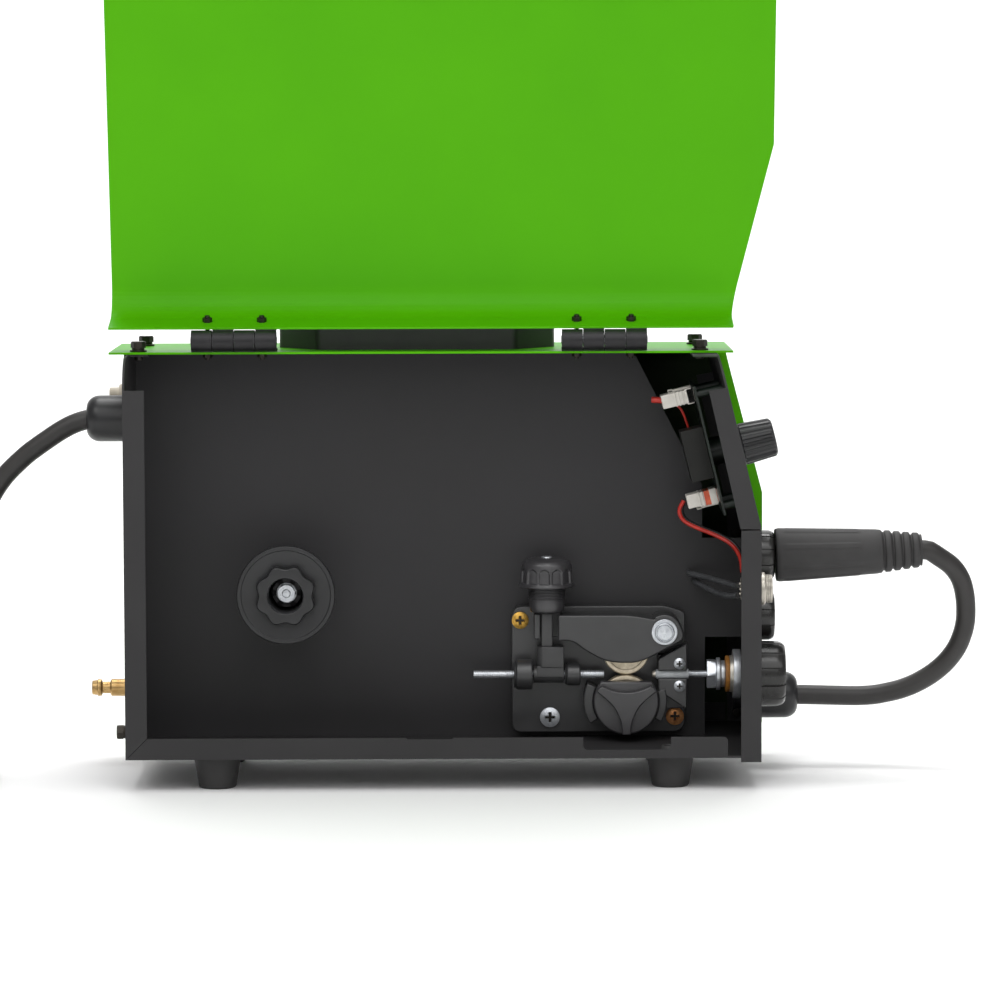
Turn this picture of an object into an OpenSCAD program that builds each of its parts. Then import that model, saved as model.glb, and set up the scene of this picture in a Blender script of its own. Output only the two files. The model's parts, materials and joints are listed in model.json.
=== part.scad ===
// Compact wire feeder welding machine with its wire bay open. Millimetres.
// +X points to the front panel, +Y away from the wire bay, +Z up.
// The origin is on the floor, in the middle of the four feet.

/* [Case] */
// Length of the case from rear panel to front panel
body_l = 440; // [420:5:470]
// Width of the case between the two side panels
body_w = 180; // [176:1:196]
// Height of the case from base sheet to top sheet
body_h = 280; // [274:1:296]
// Height of the rubber feet
foot_h = 23; // [18:1:30]
// Thickness of the steel sheet
sheet = 1.5; // [1:0.1:2]
// Radius of the long bends of cover and door
bend_r = 22; // [12:1:24]
// Height of the knee of the front above the base
knee_h = 159; // [152:1:176]
// Slope of the control panel from vertical, in degrees
slope_deg = 13.5; // [8:0.5:17]
// How far cover and door stand out past the rear panel
cover_rear_over = 12.5; // [4:0.5:20]
// How far cover and door stand out past the front panels
cover_front_over = 11.5; // [6:0.5:16]
// How much further the fixed cover stands out below the knee
knee_over = 2.6; // [0:0.1:4]
// Depth of the wire bay from its open side to the partition
bay_depth = 104; // [102:0.5:108]

/* [Frame edges] */
// Width of the rear panel's side flanges
flange_w = 15; // [10:0.5:18]
// Width of the front panels' side flanges
front_flange_w = 14.1; // [10:0.1:18]
// Height of the lips along the base
lip_h = 14.8; // [12:0.1:18]
// Height of the lowered stretch of the near lip
low_lip_h = 6; // [4:0.5:9]
// Where the lowered stretch begins, back from the front face
low_lip_x0 = 123.3; // [110:0.1:126]
// Length of the lowered stretch
low_lip_l = 60.7; // [40:0.1:64]
// How far the near lip stops short of the front face
lip_end = 23.2; // [18:0.1:30]
// Distance that the rear flange stops below the top
flange_drop = 24; // [23:1:36]
// How far the front panel reaches below the base sheet
front_drop = 3; // [0:0.5:6]

/* [Door and hinges] */
// Distance of the hinge axis from the near side
hinge_in = 42; // [40:0.5:48]
// Height of the hinge axis above the top sheet
hinge_up = 8; // [7.9:0.1:10]
// Radius of the hinge knuckles
knuckle_r = 7.4; // [6:0.1:7.4]
// Radius of the hinge pins
hinge_pin_r = 3; // [2:0.1:4]
// Length of one hinge
hinge_l = 59.6; // [48:0.1:72]
// Distance between the two hinges
hinge_span = 258; // [236:1:270]
// Thickness of the hinge leaves
leaf_t = 2; // [1.5:0.1:2.5]
// How far the door is swung open, in degrees
door_open_deg = 167; // [160:1:168]
// Gap between the closed door and the frame
door_gap = 0.4; // [0.3:0.1:1]
// Width of the door's latch
latch_w = 31; // [24:1:40]
// Travel of the latch slide
latch_travel = 8; // [7:0.5:10]

/* [Top handle] */
// Height of the handle's plinth
plinth_h = 17; // [12:0.5:18]
// Length of the plinth's near edge
plinth_near_l = 148; // [130:1:156]
// Length of the plinth across its ends
plinth_l = 195; // [180:1:198]
// Height of the whole handle
handle_h = 62; // [56:1:70]
// Thickness of the grip
grip_t = 15; // [12:0.5:18]
// Width of the grip
grip_w = 24; // [20:1:28]
// Distance of the grip's middle from the near side
grip_in = 106; // [104:1:112]

/* [Feet and bolts] */
// Radius of a foot at the top
foot_top_r = 16.5; // [14:0.5:19]
// Radius of a foot on the floor
foot_low_r = 13; // [11:0.5:15]
// Radius of the bolt hole through a foot
foot_hole_r = 4; // [3:0.1:5]
// Distance between the feet along the case
foot_span_x = 316; // [280:1:340]
// Distance between the feet across the case
foot_span_y = 124; // [110:1:132]
// Corner radius of the case bolts' hexagon heads
bolt_head_r = 5.3; // [4.5:0.1:6]
// Radius of the case bolts' shanks
bolt_r = 3; // [2:0.1:3.5]

/* [Wire line] */
// Height of the wire line above the base
wire_up = 48.9; // [46:0.1:52]
// Distance of the wire line from the near side
wire_in = 78; // [76:0.5:80]
// Distance of the rollers back from the front face
roller_back = 91.4; // [90:0.1:94]
// Radius of the drive roller
drive_r = 18.5; // [15:0.5:19]
// Radius of the pressure roller
press_r = 16.5; // [14:0.5:17.5]
// Width of both rollers
roller_w = 10; // [8:0.5:11]
// Gap between the rollers, for the wire
wire_gap = 0.4; // [0.3:0.1:1]
// Radius of the drive shaft
shaft_r = 5; // [4:0.5:7]
// Radius of the cap over the drive roller
cap_r = 23; // [21:0.5:23.5]

/* [Feeder] */
// Width of the feeder plate
plate_w = 123.3; // [122:0.1:128]
// Height of the feeder plate
plate_h = 90.2; // [90:0.1:96]
// Thickness of the feeder plate
plate_t = 12; // [8:0.5:13]
// Radius of the pressure arm's pivot pin
pivot_r = 5; // [4:0.5:6]
// Radius of the pressure roller's axle
axle_r = 4; // [3:0.5:5]
// Radius of the tension rod
rod_r = 3.9; // [3:0.1:4.5]
// Distance of the tension rod behind the rollers
rod_back = 55.8; // [55:0.1:57]
// Radius of the tension knob's head
tension_head_r = 19.5; // [16:0.1:20]
// Radius of the tension knob's sleeve
tension_sleeve_r = 13.2; // [11:0.1:13.5]
// Radius of the inlet tube
inlet_r = 2.85; // [2.5:0.05:3.2]
// Radius of the outlet tube
outlet_r = 3.6; // [3:0.1:4]
// Clearance all round a turning fit
run_fit = 0.05; // [0.02:0.01:0.09]

/* [Spool hub] */
// Distance of the hub's axis from the rear face
hub_from_rear = 109.7; // [106:0.1:116]
// Height of the hub's axis above the base
hub_up = 109.8; // [106:0.1:118]
// Radius of the hub that carries the spool
hub_r = 25; // [20:0.5:27]
// Length of the hub that a spool sits on
hub_seat_l = 48; // [44:0.5:50]
// Radius of the cap on the hub
spool_cap_r = 34.5; // [32:0.5:40]
// Radius of the hole through cap and hub
hub_hole_r = 12.2; // [11:0.1:14]
// Radius of the fixed spindle inside the hub
spindle_r = 6; // [5:0.5:8]

/* [Sockets and glands] */
// Height of the positive socket above the base
plus_up = 131; // [128:1:134]
// Distance between the two cable sockets
socket_pitch = 43; // [42:0.5:46]
// Radius of a cable socket's body
socket_r = 18; // [16:0.5:20]
// Radius of the hole for a cable plug's pin
socket_bore_r = 4.5; // [4:0.1:6.5]
// Distance of the cable sockets from the near side
socket_in = 100; // [99:0.5:104]
// How far a cable socket stands out
socket_out = 15; // [12:0.5:18]
// Radius of the shroud round the torch socket
shroud_r = 23.4; // [21:0.1:23.5]
// How far the shroud stands out
shroud_out = 21; // [18:0.5:24]
// Radius of the torch socket's bore
torch_bore_r = 6; // [4:0.1:8]
// Radius of the remote socket
remote_r = 11.5; // [9:0.5:11.5]
// Radius of a cable gland's nut
gland_r = 17.2; // [15:0.1:18]
// Distance of both glands from the near side
gland_in = 130; // [128:0.5:134]
// Radius of the gas nipple's barb
barb_r = 5.65; // [5:0.05:6]

/* [Controls] */
// Radius of the control knob at its base
knob_r = 15; // [12:0.5:16]
// Length of the control knob
knob_l = 26; // [18:0.5:28]
// Distance of the circuit board behind the sloped panel
board_gap = 20; // [18:0.5:22]

/* [Cords] */
// Radius of the power cord
cord_r = 7; // [6:0.1:7.4]
// Radius of the jumper cable
jumper_r = 7; // [6:0.1:7.6]
// Turns of the coil in each of its two layers
turns_per_layer = 2; // [1:1:3]
// Radius of the middle of the coil's innermost turn
coil_inner_r = 66; // [60:1:80]
// Gap between neighbouring turns of the coil
turn_gap = 0.8; // [0.7:0.1:1.4]

/* [Hidden] */
$fn = 48;

// Main planes of the case
near_y = -body_w / 2;
far_y = body_w / 2;
rear_x = -body_l / 2;
front_x = body_l / 2;
base_z = foot_h;
floor_z = base_z + sheet;
top_z = base_z + body_h;
under_top = top_z - sheet;
knee_z = base_z + knee_h;
slope = tan(slope_deg);
cover_rear = rear_x - cover_rear_over;
cover_front = front_x + cover_front_over;
part_y = near_y + bay_depth;
edge_gap = 0.5;

// X of the front's outer face at height z
function face_x(z) = front_x - max(0, z - knee_z) * slope;

top_mid = (rear_x + face_x(top_z)) / 2 - 1.7;

foot_neck_r = foot_hole_r + 3;

// Door and hinges
hinge_y = near_y + hinge_in;
hinge_z = top_z + hinge_up;
hinge_x = [top_mid - hinge_span / 2, top_mid + hinge_span / 2];
knuckles = 4;
knuckle_l = hinge_l / knuckles;
leaf_start = knuckle_r + 1;
leaf_reach = 21;
hinge_screw_dx = 19;
hinge_screw_dy = 15;
hinge_screw_r = 1.8;
hinge_nut_r = 3.4;
door_out_y = near_y - door_gap - sheet;
latch_x = rear_x + 210.4;
latch_h = 25;
latch_z = base_z + lip_h;
notch_d = 1;

// Feeder
wire_z = base_z + wire_up;
wire_y = near_y + wire_in;
roller_x = front_x - roller_back;
drive_z = wire_z - wire_gap / 2 - drive_r;
press_z = wire_z + wire_gap / 2 + press_r;
roller_y = wire_y + roller_w / 2;
roller_front = wire_y - roller_w / 2;
plate_y = part_y - plate_t;
plate_x = front_x - 48.7 - plate_w;
plate_z = base_z + 5.6;
pivot_x = roller_x + 27;
pivot_z = wire_z + 31.2;
rod_x = roller_x - rod_back;
arm_front = roller_front - 7;
arm_back = plate_y - edge_gap;
arm_top = wire_z + 43.2;
fork_low = wire_z + 25.1;
sleeve_z = arm_top + 1.2;
sleeve_l = 18;
head_l = 20.7;
knob_top = sleeve_z + sleeve_l + head_l;
block_top = wire_z + 20.1;
guide_x = rod_x - 23.4;
guide_l = 13.1;
clamp_x0 = roller_x + 22.8;
clamp_x1 = roller_x + 43.3;
clamp_back = roller_front + 10.5;
clamp_front = roller_front - 1;
clamp_screw_up = 8;
plate_screw_r = 2.6;
plate_screws = [[plate_x + 6, plate_z + 80.3], [plate_x + 27, plate_z + 10.8],
    [plate_x + 116, plate_z + 11.4]];
plate_heads = [6, 7, 6.4];
outlet_x = roller_x + 20.5;
torch_x = clamp_x1;
torch_body_r = 16;
torch_stem_r = torch_body_r - 3;
stud_r = 2.4;
stud_l = 14;
torch_rod_r = 6.8;
wire_bore_r = 1.1;
ring_r = cap_r + run_fit;
ring_wall = 6;
cap_front = arm_front;
cap_t = 6.5;
cap_flat = 14.6;

// Spool hub
hub_x = rear_x + hub_from_rear;
hub_z = base_z + hub_up;
hub_back = part_y - 8;
hub_front = hub_back - hub_seat_l;
hub_flange_t = 4;
hub_flange_r = hub_r + 3.5;
cap_disc_t = 6;
cap_grip_h = 8;

// Front fittings
plus_z = base_z + plus_up;
minus_z = plus_z - socket_pitch;
socket_y = near_y + socket_in;
remote_z = base_z + 113;
remote_y = near_y + 45;
gland_y = near_y + gland_in;
jumper_gland_z = base_z + 27;
power_gland_z = base_z + 228;
nipple_z = base_z + 30.6;
nipple_y = near_y + 155;
nipple_hex_r = 9;
nipple_thread_r = 5;
nipple_stem_l = 35.7;
breaker_z = base_z + 244;
breaker_y = far_y - 28;
breaker_r = 8;
button_r = 5;
knob_z = base_z + 210;
gland_thread_r = 10;
jumper_gland_l = 24;
power_gland_l = 26;
dome_l = 9.5;

// Control panel's own frame: origin on the sloped face at knob height
knob_y = near_y + 90;
knob_shaft_r = 3;
board_y = near_y + 78;
board_h = 93;
board_up = 4.5;
board_w = 62;
board_t = 1.6;
post_r = 3;
connector_y = near_y + 72;
connector_w = 16;
connector_h = 9.6;

// Connectors on the board: height of the middle above the knob, and length
connectors = [[44, 23.3], [-28.6, 22.4]];

// Fan
fan_size = 70;
fan_t = 22;
fan_y = (part_y + sheet + far_y) / 2;
fan_z = base_z + 137;
fan_bore_r = 31;
fan_pin_r = 2;
fan_hub_r = 13;
blades = 7;

// Slots of the fan's grille in the rear panel
slot_step = 6.2;
slot_w = 3.2;

// Bolts through cover, panels and top sheet
rear_bolt_y = [near_y + 20, far_y - 12];
rear_bolt_z = base_z + 17;
top_bolt_y = [hinge_y + 11, far_y - 52];
top_bolt_x = [rear_x + 7.5, face_x(under_top) - 11.5];
side_bolts = [[rear_x + 7.5, base_z + 7.5], [rear_x + 7.5, base_z + 200],
    [front_x - 7.5, base_z + 7.5], [front_x - 7.5, base_z + 140]];

// Vents of the fixed cover
vent_count = 9;
vent_step = 10;
vent_x = 60;
vent_z = base_z + 90;
vent_w = 4;
vent_h = 60;

// Latch slide
slide_w = latch_w / 2;
slide_t = 2.6;
slide_y = near_y + sheet + edge_gap;

// Inverter behind the partition: board, finned heat sink and round capacitors
unit_x = rear_x + 50;
unit_l = 200;
unit_h = 190;
unit_z = base_z + 40;
unit_t = 2;
unit_y = far_y - 12;
fins = 7;
fin_step = 4.6;
fin_t = 1.8;
fin_side = 90;
fin_x = unit_x + 20;
fin_y = far_y - 44;
fin_z = unit_z + 50;
can_r = 10;
can_l = 34;

// Leads of the remote socket and wires of the lower connector
lead_r = 2;
board_wire_r = 1.45;

// ---------------------------------------------------------------- helpers

// A flat side-view shape (x, z), t thick, whose far face is at y_far
module side_view(y_far, t)
    translate([0, y_far, 0]) rotate([90, 0, 0]) linear_extrude(t) children();

// A section (y, z) drawn out along X from x0 by l
module along_x(x0, l)
    translate([x0, 0, 0]) rotate([90, 0, 90]) linear_extrude(l) children();

// Children drawn along +Z stand along +X from the point
module to_front(p) translate(p) rotate([0, 90, 0]) children();

// Children drawn along +Z stand along -X from the point
module to_rear(p) translate(p) rotate([0, -90, 0]) children();

// Children drawn along +Z stand along -Y from the point
module to_near(p) translate(p) rotate([90, 0, 0]) children();

module tube(r, bore, h) difference() {
    cylinder(r = r, h = h);
    translate([0, 0, -1]) cylinder(r = bore, h = h + 2);
}

module hexagon(r, h) cylinder(r = r, h = h, $fn = 6);

// A row of ribs round a cylinder of radius r
module ribs(count, r, rib, h) for (k = [0 : count - 1])
    rotate([0, 0, k * 360 / count]) translate([r - rib / 2, -rib / 2, 0]) cube([rib, rib, h]);

// Square with round top corners, seen along X, from z0 up to z1
module section(z0, z1, r) {
    translate([near_y, z0]) square([body_w, z1 - r - z0]);
    translate([near_y + r, z0]) square([body_w - 2 * r, z1 - z0]);
    for (y = [near_y + r, far_y - r]) translate([y, z1 - r]) circle(r);
}

// The room that the closed door's top strip needs above the frame
module door_room() translate([cover_rear - 1, near_y - 1, under_top - door_gap])
    cube([cover_front - cover_rear + 2, hinge_y - near_y + 2, 10]);

// Section of a bent sheet: top strip, bend and side, for the far side
module bent_sheet(edge_y, side_y, low_z) {
    corner_y = side_y - bend_r;
    translate([edge_y, under_top]) square([corner_y - edge_y, sheet]);
    translate([side_y - sheet, low_z]) square([sheet, top_z - bend_r - low_z]);
    translate([corner_y, top_z - bend_r]) intersection() {
        difference() { circle(bend_r); circle(bend_r - sheet); }
        square([bend_r, bend_r]);
    }
}

// Side-view outline shared by cover and door; over is how far it stands out more below the knee
module shell_outline(over) polygon([
    [cover_rear, base_z], [cover_front + over, base_z], [cover_front + over, knee_z],
    [cover_front - (top_z + 1 - knee_z) * slope, top_z + 1], [cover_rear, top_z + 1]]);

// Places the closed door's pieces at the open door's place
module open_door() translate([0, hinge_y, hinge_z]) rotate([-door_open_deg, 0, 0])
    translate([0, -hinge_y, -hinge_z]) children();

// Places children, drawn along +Z from the sloped face, at height z of the panel
module on_slope(z, y) translate([face_x(z), y, z]) rotate([0, 90 - slope_deg, 0]) children();

// ---------------------------------------------------------------- swept tubes

function unit(v) = v / norm(v);

// Direction of a route at point i, straight at both ends
function heading(route, i) = let (n = len(route) - 1)
    i == 0 ? unit(route[1] - route[0]) :
    i == n ? unit(route[n] - route[n - 1]) :
    unit(unit(route[i + 1] - route[i]) + unit(route[i] - route[i - 1]));

// One tube along a route. side is a direction that the route never follows.
module swept(route, r, sides, side) {
    n = len(route);
    rings = [for (i = [0 : n - 1]) let (
            t = heading(route, i), u = unit(cross(t, side)), v = cross(t, u))
        for (k = [0 : sides - 1]) let (a = 360 * (k + 0.5) / sides)
            route[i] + r * (cos(a) * u + sin(a) * v)];
    walls = [for (i = [0 : n - 2], k = [0 : sides - 1]) let (
            a = i * sides + k, b = i * sides + (k + 1) % sides)
        each [[a, b, b + sides], [a, b + sides, a + sides]]];
    first = [for (k = [1 : sides - 2]) [0, k + 1, k]];
    end = (n - 1) * sides;
    last = [for (k = [1 : sides - 2]) [end, end + k, end + k + 1]];
    polyhedron(points = rings, faces = concat(walls, first, last));
}

// Power cord from its gland down to the floor, points chosen by hand
cord_lie = cord_r + 1;
coil_x = rear_x - 200;
cord_mouth = rear_x - power_gland_l - dome_l;
cord_drop = power_gland_z - cord_lie;

// Each point: distance behind the rear panel, share of the drop from gland to floor
cord_fall = [[-cord_mouth + rear_x - dome_l - 4, 1], [36, 1], [41, 0.996], [46.5, 0.984], [54, 0.965],
    [62, 0.944], [71.5, 0.917], [80.7, 0.888], [95.2, 0.829], [106.2, 0.758], [113, 0.679],
    [115.3, 0.596], [115.3, 0.477], [115.3, 0.362], [115.3, 0.247], [118.2, 0.171],
    [126.8, 0.102], [140, 0.047], [156.8, 0.012], [175.3, 0], [200 - 2 * cord_r, 0]];
cord_points = [for (p = cord_fall) [rear_x - p[0], gland_y, cord_lie + p[1] * cord_drop]];

// Coil: spirals in along the floor, climbs one layer and spirals out again
turn_step = 2 * cord_r + turn_gap;
coil_outer_r = coil_inner_r + turns_per_layer * turn_step;
coil_y = gland_y - coil_outer_r;
turns = 2 * turns_per_layer;
rings_per_turn = 24;
function climb(t) = let (s = min(1, max(0, (t - turns_per_layer + 0.25) / 0.5))) s * s * (3 - 2 * s);
function coil_point(t) = let (
        r = coil_inner_r + abs(t - turns_per_layer) * turn_step, a = 90 + 360 * t)
    [coil_x + r * cos(a), coil_y + r * sin(a), cord_lie + climb(t) * turn_step];
upper_z = cord_lie + turn_step;
plug_z = 19.5;
tail_end = [coil_x - 64, gland_y + 44, plug_z];
coil_route = concat([[coil_x + 2 * cord_r, gland_y, cord_lie]],
    [for (k = [0 : turns * rings_per_turn]) coil_point(k / rings_per_turn)],
    [[coil_x - 14, gland_y, upper_z], [coil_x - 28, gland_y + 3, 22],
     [coil_x - 41, gland_y + 10, 21], [coil_x - 52, gland_y + 20, 20],
     [coil_x - 59, gland_y + 31, plug_z], tail_end]);
tail_dir = unit([-5, 13, 0]);

// Least distance between turns that are at least half a turn apart
last_ring = rings_per_turn * turns;
coil_gap = min([for (i = [0 : last_ring], j = [i + rings_per_turn / 2 : last_ring])
    norm(coil_point(i / rings_per_turn) - coil_point(j / rings_per_turn))]) - 2 * cord_r;
echo("least gap between turns of the coil", coil_gap);

// Jumper cable from the low gland to the plug, points chosen by hand
plug_tilt = 1.8;
plug_back = front_x + socket_out + 0.6;
sleeve_len = 104.5;
plug_end = [plug_back + sleeve_len * cos(plug_tilt), socket_y, plus_z + sleeve_len * sin(plug_tilt)];
jumper_mouth = front_x + jumper_gland_l + dome_l;
plug_dir = [cos(plug_tilt), 0, sin(plug_tilt)];
jumper_points = [[jumper_mouth - dome_l - 4, gland_y, jumper_gland_z],
    [jumper_mouth + 1, gland_y, jumper_gland_z], [front_x + 49, 40, 49.6], [front_x + 62, 39.5, 49.3],
    [front_x + 77, 38, 49.2], [front_x + 88, 36.5, 50], [front_x + 96, 35.2, 51.5],
    [front_x + 106, 33, 54.1], [front_x + 115, 31, 57.6], [front_x + 123.5, 29.2, 62.2],
    [front_x + 132, 27.6, 68.1], [front_x + 140.4, 26.2, 76.1], [front_x + 147.8, 24.8, 87.1],
    [front_x + 152.5, 23.6, 101.5], [front_x + 153.1, 22.4, 115.4], [front_x + 151.4, 20.2, 127.7],
    [front_x + 147.9, 17.6, 137.3], [front_x + 141.8, 14.6, 145.4], [front_x + 133.6, 12, 151.5],
    plug_end + [5.5, 0.4, -0.5], plug_end + 2 * plug_dir, plug_end];

// ---------------------------------------------------------------- frame and covers

module base_tray() color("#3e3d3e") difference() {
    union() {
        translate([rear_x + sheet, near_y, base_z]) cube([body_l - 2 * sheet, body_w, sheet]);
        side_view(near_y + sheet, sheet) near_lip();
        side_view(far_y, sheet) polygon([[rear_x + flange_w + 1, base_z],
            [front_x - front_flange_w - 1, base_z], [front_x - front_flange_w - 1, base_z + lip_h],
            [rear_x + flange_w + 1, base_z + lip_h]]);
    }
    for (sx = [-1, 1], sy = [-1, 1])
        translate([sx * foot_span_x / 2, sy * foot_span_y / 2, base_z - 1])
            cylinder(r = foot_neck_r, h = sheet + 2);
    for (y = [near_y - 1, far_y - sheet])
        translate([front_x - front_flange_w, y, base_z - 1]) cube([front_flange_w, sheet + 1, lip_h]);
}

module near_lip() {
    end_x = front_x - lip_end;
    round_r = 3;
    difference() {
        union() {
            polygon([[rear_x + sheet, base_z], [end_x, base_z], [end_x, base_z + lip_h - round_r],
                [end_x - round_r, base_z + lip_h - round_r], [end_x - round_r, base_z + lip_h],
                [rear_x + lip_h + edge_gap, base_z + lip_h],
                [rear_x + sheet, base_z + sheet - edge_gap]]);
            translate([end_x - round_r, base_z + lip_h - round_r]) circle(round_r);
        }
        translate([front_x - low_lip_x0, base_z + low_lip_h + round_r]) square([low_lip_l, lip_h]);
        translate([front_x - low_lip_x0 + round_r, base_z + low_lip_h])
            square([low_lip_l - 2 * round_r, lip_h]);
        for (x = [round_r, low_lip_l - round_r])
            translate([front_x - low_lip_x0 + x, base_z + low_lip_h + round_r]) circle(round_r);
        translate([latch_x - latch_w / 2 - edge_gap, base_z + lip_h - notch_d])
            square([latch_w + 2 * edge_gap, lip_h]);
    }
}

module rear_panel() color("#3e3d3e") difference() {
    union() {
        along_x(rear_x, sheet) section(base_z, under_top, bend_r + 1);
        side_view(near_y + sheet, sheet) polygon([[rear_x, base_z], [rear_x + flange_w, base_z + flange_w],
            [rear_x + flange_w, top_z - flange_drop], [rear_x, top_z - flange_drop]]);
        translate([rear_x, far_y - sheet, floor_z]) cube([flange_w, sheet, body_h - bend_r - 3]);
        translate([rear_x, hinge_y + 2, under_top - sheet])
            cube([flange_w, far_y - bend_r - hinge_y - 3, sheet]);
    }
    door_room();
    to_front([rear_x - 1, gland_y, power_gland_z]) cylinder(r = gland_thread_r, h = sheet + 2);
    to_front([rear_x - 1, breaker_y, breaker_z]) cylinder(r = breaker_r, h = sheet + 2);
    to_front([rear_x - 1, nipple_y, nipple_z]) cylinder(r = nipple_thread_r, h = sheet + 2);
    to_front([rear_x - 1, fan_y, fan_z]) for (k = [-4 : 4]) fan_slot(k * slot_step);
    for (y = rear_bolt_y) to_front([rear_x - 1, y, rear_bolt_z]) cylinder(r = bolt_r, h = sheet + 2);
    top_bolt_holes();
    side_bolt_holes();
}

// A slot across the fan's opening at distance x from its middle
module fan_slot(x) {
    half = sqrt(fan_bore_r * fan_bore_r - x * x);
    translate([x - slot_w / 2, -half, 0]) cube([slot_w, 2 * half, sheet + 2]);
}

module top_bolt_holes() for (x = top_bolt_x, y = top_bolt_y)
    translate([x, y, under_top - 10]) cylinder(r = bolt_r, h = 20);

module side_bolt_holes() for (p = side_bolts)
    to_near([p[0], far_y + 3, p[1]]) cylinder(r = bolt_r, h = 10);

module front_panel_lower() color("#3e3d3e") difference() {
    union() {
        translate([front_x - sheet, near_y, base_z - front_drop])
            cube([sheet, body_w, knee_h + front_drop - 1]);
        for (y = [near_y, far_y - sheet]) translate([front_x - front_flange_w, y, base_z - front_drop])
            cube([front_flange_w, sheet, knee_h + front_drop - 1]);
    }
    to_front([front_x - 3, wire_y, wire_z]) cylinder(r = torch_body_r, h = 6);
    for (z = [plus_z, minus_z])
        to_front([front_x - 3, socket_y, z]) cylinder(r = socket_r - 4, h = 6);
    to_front([front_x - 3, remote_y, remote_z]) cylinder(r = remote_r - 2, h = 6);
    to_front([front_x - 3, gland_y, jumper_gland_z]) cylinder(r = gland_thread_r, h = 6);
    side_bolt_holes();
}

module control_panel() color("#3e3d3e") difference() {
    union() {
        intersection() {
            side_view(far_y, body_w) sloped_strip();
            along_x(0, front_x + 1) section(base_z, under_top, bend_r + 1);
        }
        for (y = [near_y + sheet, far_y]) side_view(y, sheet) sloped_flange();
    }
    door_room();
    on_slope(knob_z, knob_y) translate([0, 0, -5]) cylinder(r = knob_shaft_r, h = 10);
    top_bolt_holes();
}

module sloped_strip() {
    top_x = face_x(under_top);
    back_x = top_x - 18;
    level_t = sheet / cos(slope_deg);
    polygon([[front_x, knee_z], [top_x, under_top], [back_x, under_top], [back_x, under_top - sheet],
        [face_x(under_top - sheet) - level_t, under_top - sheet], [front_x - level_t, knee_z]]);
}

module sloped_flange() {
    flange_z = top_z - flange_drop + 1;
    polygon([[front_x, knee_z], [face_x(flange_z), flange_z], [face_x(flange_z) - 13, flange_z - 2.5],
        [front_x - front_flange_w - 0.5, knee_z]]);
}

module partition_wall() color("#38373a") difference() {
    union() {
        side_view(part_y + sheet, sheet) polygon([[rear_x + sheet, floor_z], [front_x - 34, floor_z],
            [front_x - 34, base_z + 72], [front_x - 7, base_z + 72], [front_x - 7, base_z + 143],
            [front_x - 36, base_z + 143], [front_x - 36, base_z + 181], [front_x - 36 - 45 - 5, under_top],
            [rear_x + sheet, under_top]]);
        translate([rear_x + sheet, part_y + sheet, floor_z]) cube([body_l - 34 - sheet, 14, sheet]);
    }
    to_near([hub_x, part_y + 3, hub_z]) cylinder(r = spindle_r, h = 6);
    to_near([roller_x, part_y + 3, drive_z]) cylinder(r = shaft_r + 3, h = 6);
    for (p = plate_screws) to_near([p[0], part_y + 3, p[1]]) cylinder(r = plate_screw_r, h = 6);
    translate([rear_x, part_y - 1, under_top - sheet]) cube([flange_w + edge_gap, sheet + 2, sheet + 1]);
}

module fixed_cover() color("#50a602") difference() {
    intersection() {
        along_x(cover_rear, cover_front - cover_rear) bent_sheet(hinge_y + edge_gap, far_y + sheet, base_z);
        side_view(far_y + 10, body_w + 20) shell_outline(knee_over);
    }
    top_bolt_holes();
    hinge_screw_holes(1, under_top - 1);
    side_bolt_holes();
    for (k = [0 : vent_count - 1])
        translate([vent_x + k * vent_step, far_y - 2, vent_z]) cube([vent_w, 6, vent_h]);
}

// Holes for the hinge screws on the side dir of the hinge axis, from height z
module hinge_screw_holes(dir, z) for (x = hinge_x, s = [-1, 1])
    translate([x + s * hinge_screw_dx, hinge_y + dir * hinge_screw_dy, z])
        cylinder(r = hinge_screw_r, h = 5);

module side_door() color("#50a602") open_door() difference() {
    intersection() {
        along_x(cover_rear, cover_front - cover_rear) mirror([1, 0])
            bent_sheet(-hinge_y + edge_gap, -door_out_y, base_z);
        side_view(far_y + 10, body_w + 20) shell_outline(0);
    }
    hinge_screw_holes(-1, under_top - 1);
    translate([latch_x - latch_w / 2 + 3, door_out_y - 1, latch_z + 3])
        cube([latch_w - 6, sheet + 2, latch_h - 6]);
}

// Knuckles number first, first + 2 of each hinge, with their leaf towards dir
module hinge_half(first, dir, bore) for (x = hinge_x) difference() {
    union() {
        for (k = [first : 2 : knuckles - 1])
            translate([x - hinge_l / 2 + k * knuckle_l + 0.2, hinge_y, 0]) {
            to_front([0, 0, hinge_z]) cylinder(r = knuckle_r, h = knuckle_l - 0.4);
            translate([0, dir > 0 ? 0 : -leaf_start, top_z]) cube([knuckle_l - 0.4, leaf_start, leaf_t]);
        }
        translate([x - hinge_l / 2 + 0.2, dir > 0 ? hinge_y + leaf_start : hinge_y - leaf_reach, top_z])
            cube([hinge_l - 0.4, leaf_reach - leaf_start, leaf_t]);
    }
    to_front([x - hinge_l, hinge_y, hinge_z]) cylinder(r = bore, h = 2 * hinge_l);
    hinge_screw_holes(dir, top_z - 1);
}

module hinge_fixed_leaves() color("#303032") hinge_half(0, 1, hinge_pin_r);

module hinge_door_leaves() color("#303032") open_door() hinge_half(1, -1, hinge_pin_r + run_fit);

module hinge_pins() color("#6c6d6f") for (x = hinge_x)
    to_front([x - hinge_l / 2 - 0.3, hinge_y, hinge_z]) cylinder(r = hinge_pin_r, h = hinge_l + 0.6);

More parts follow.
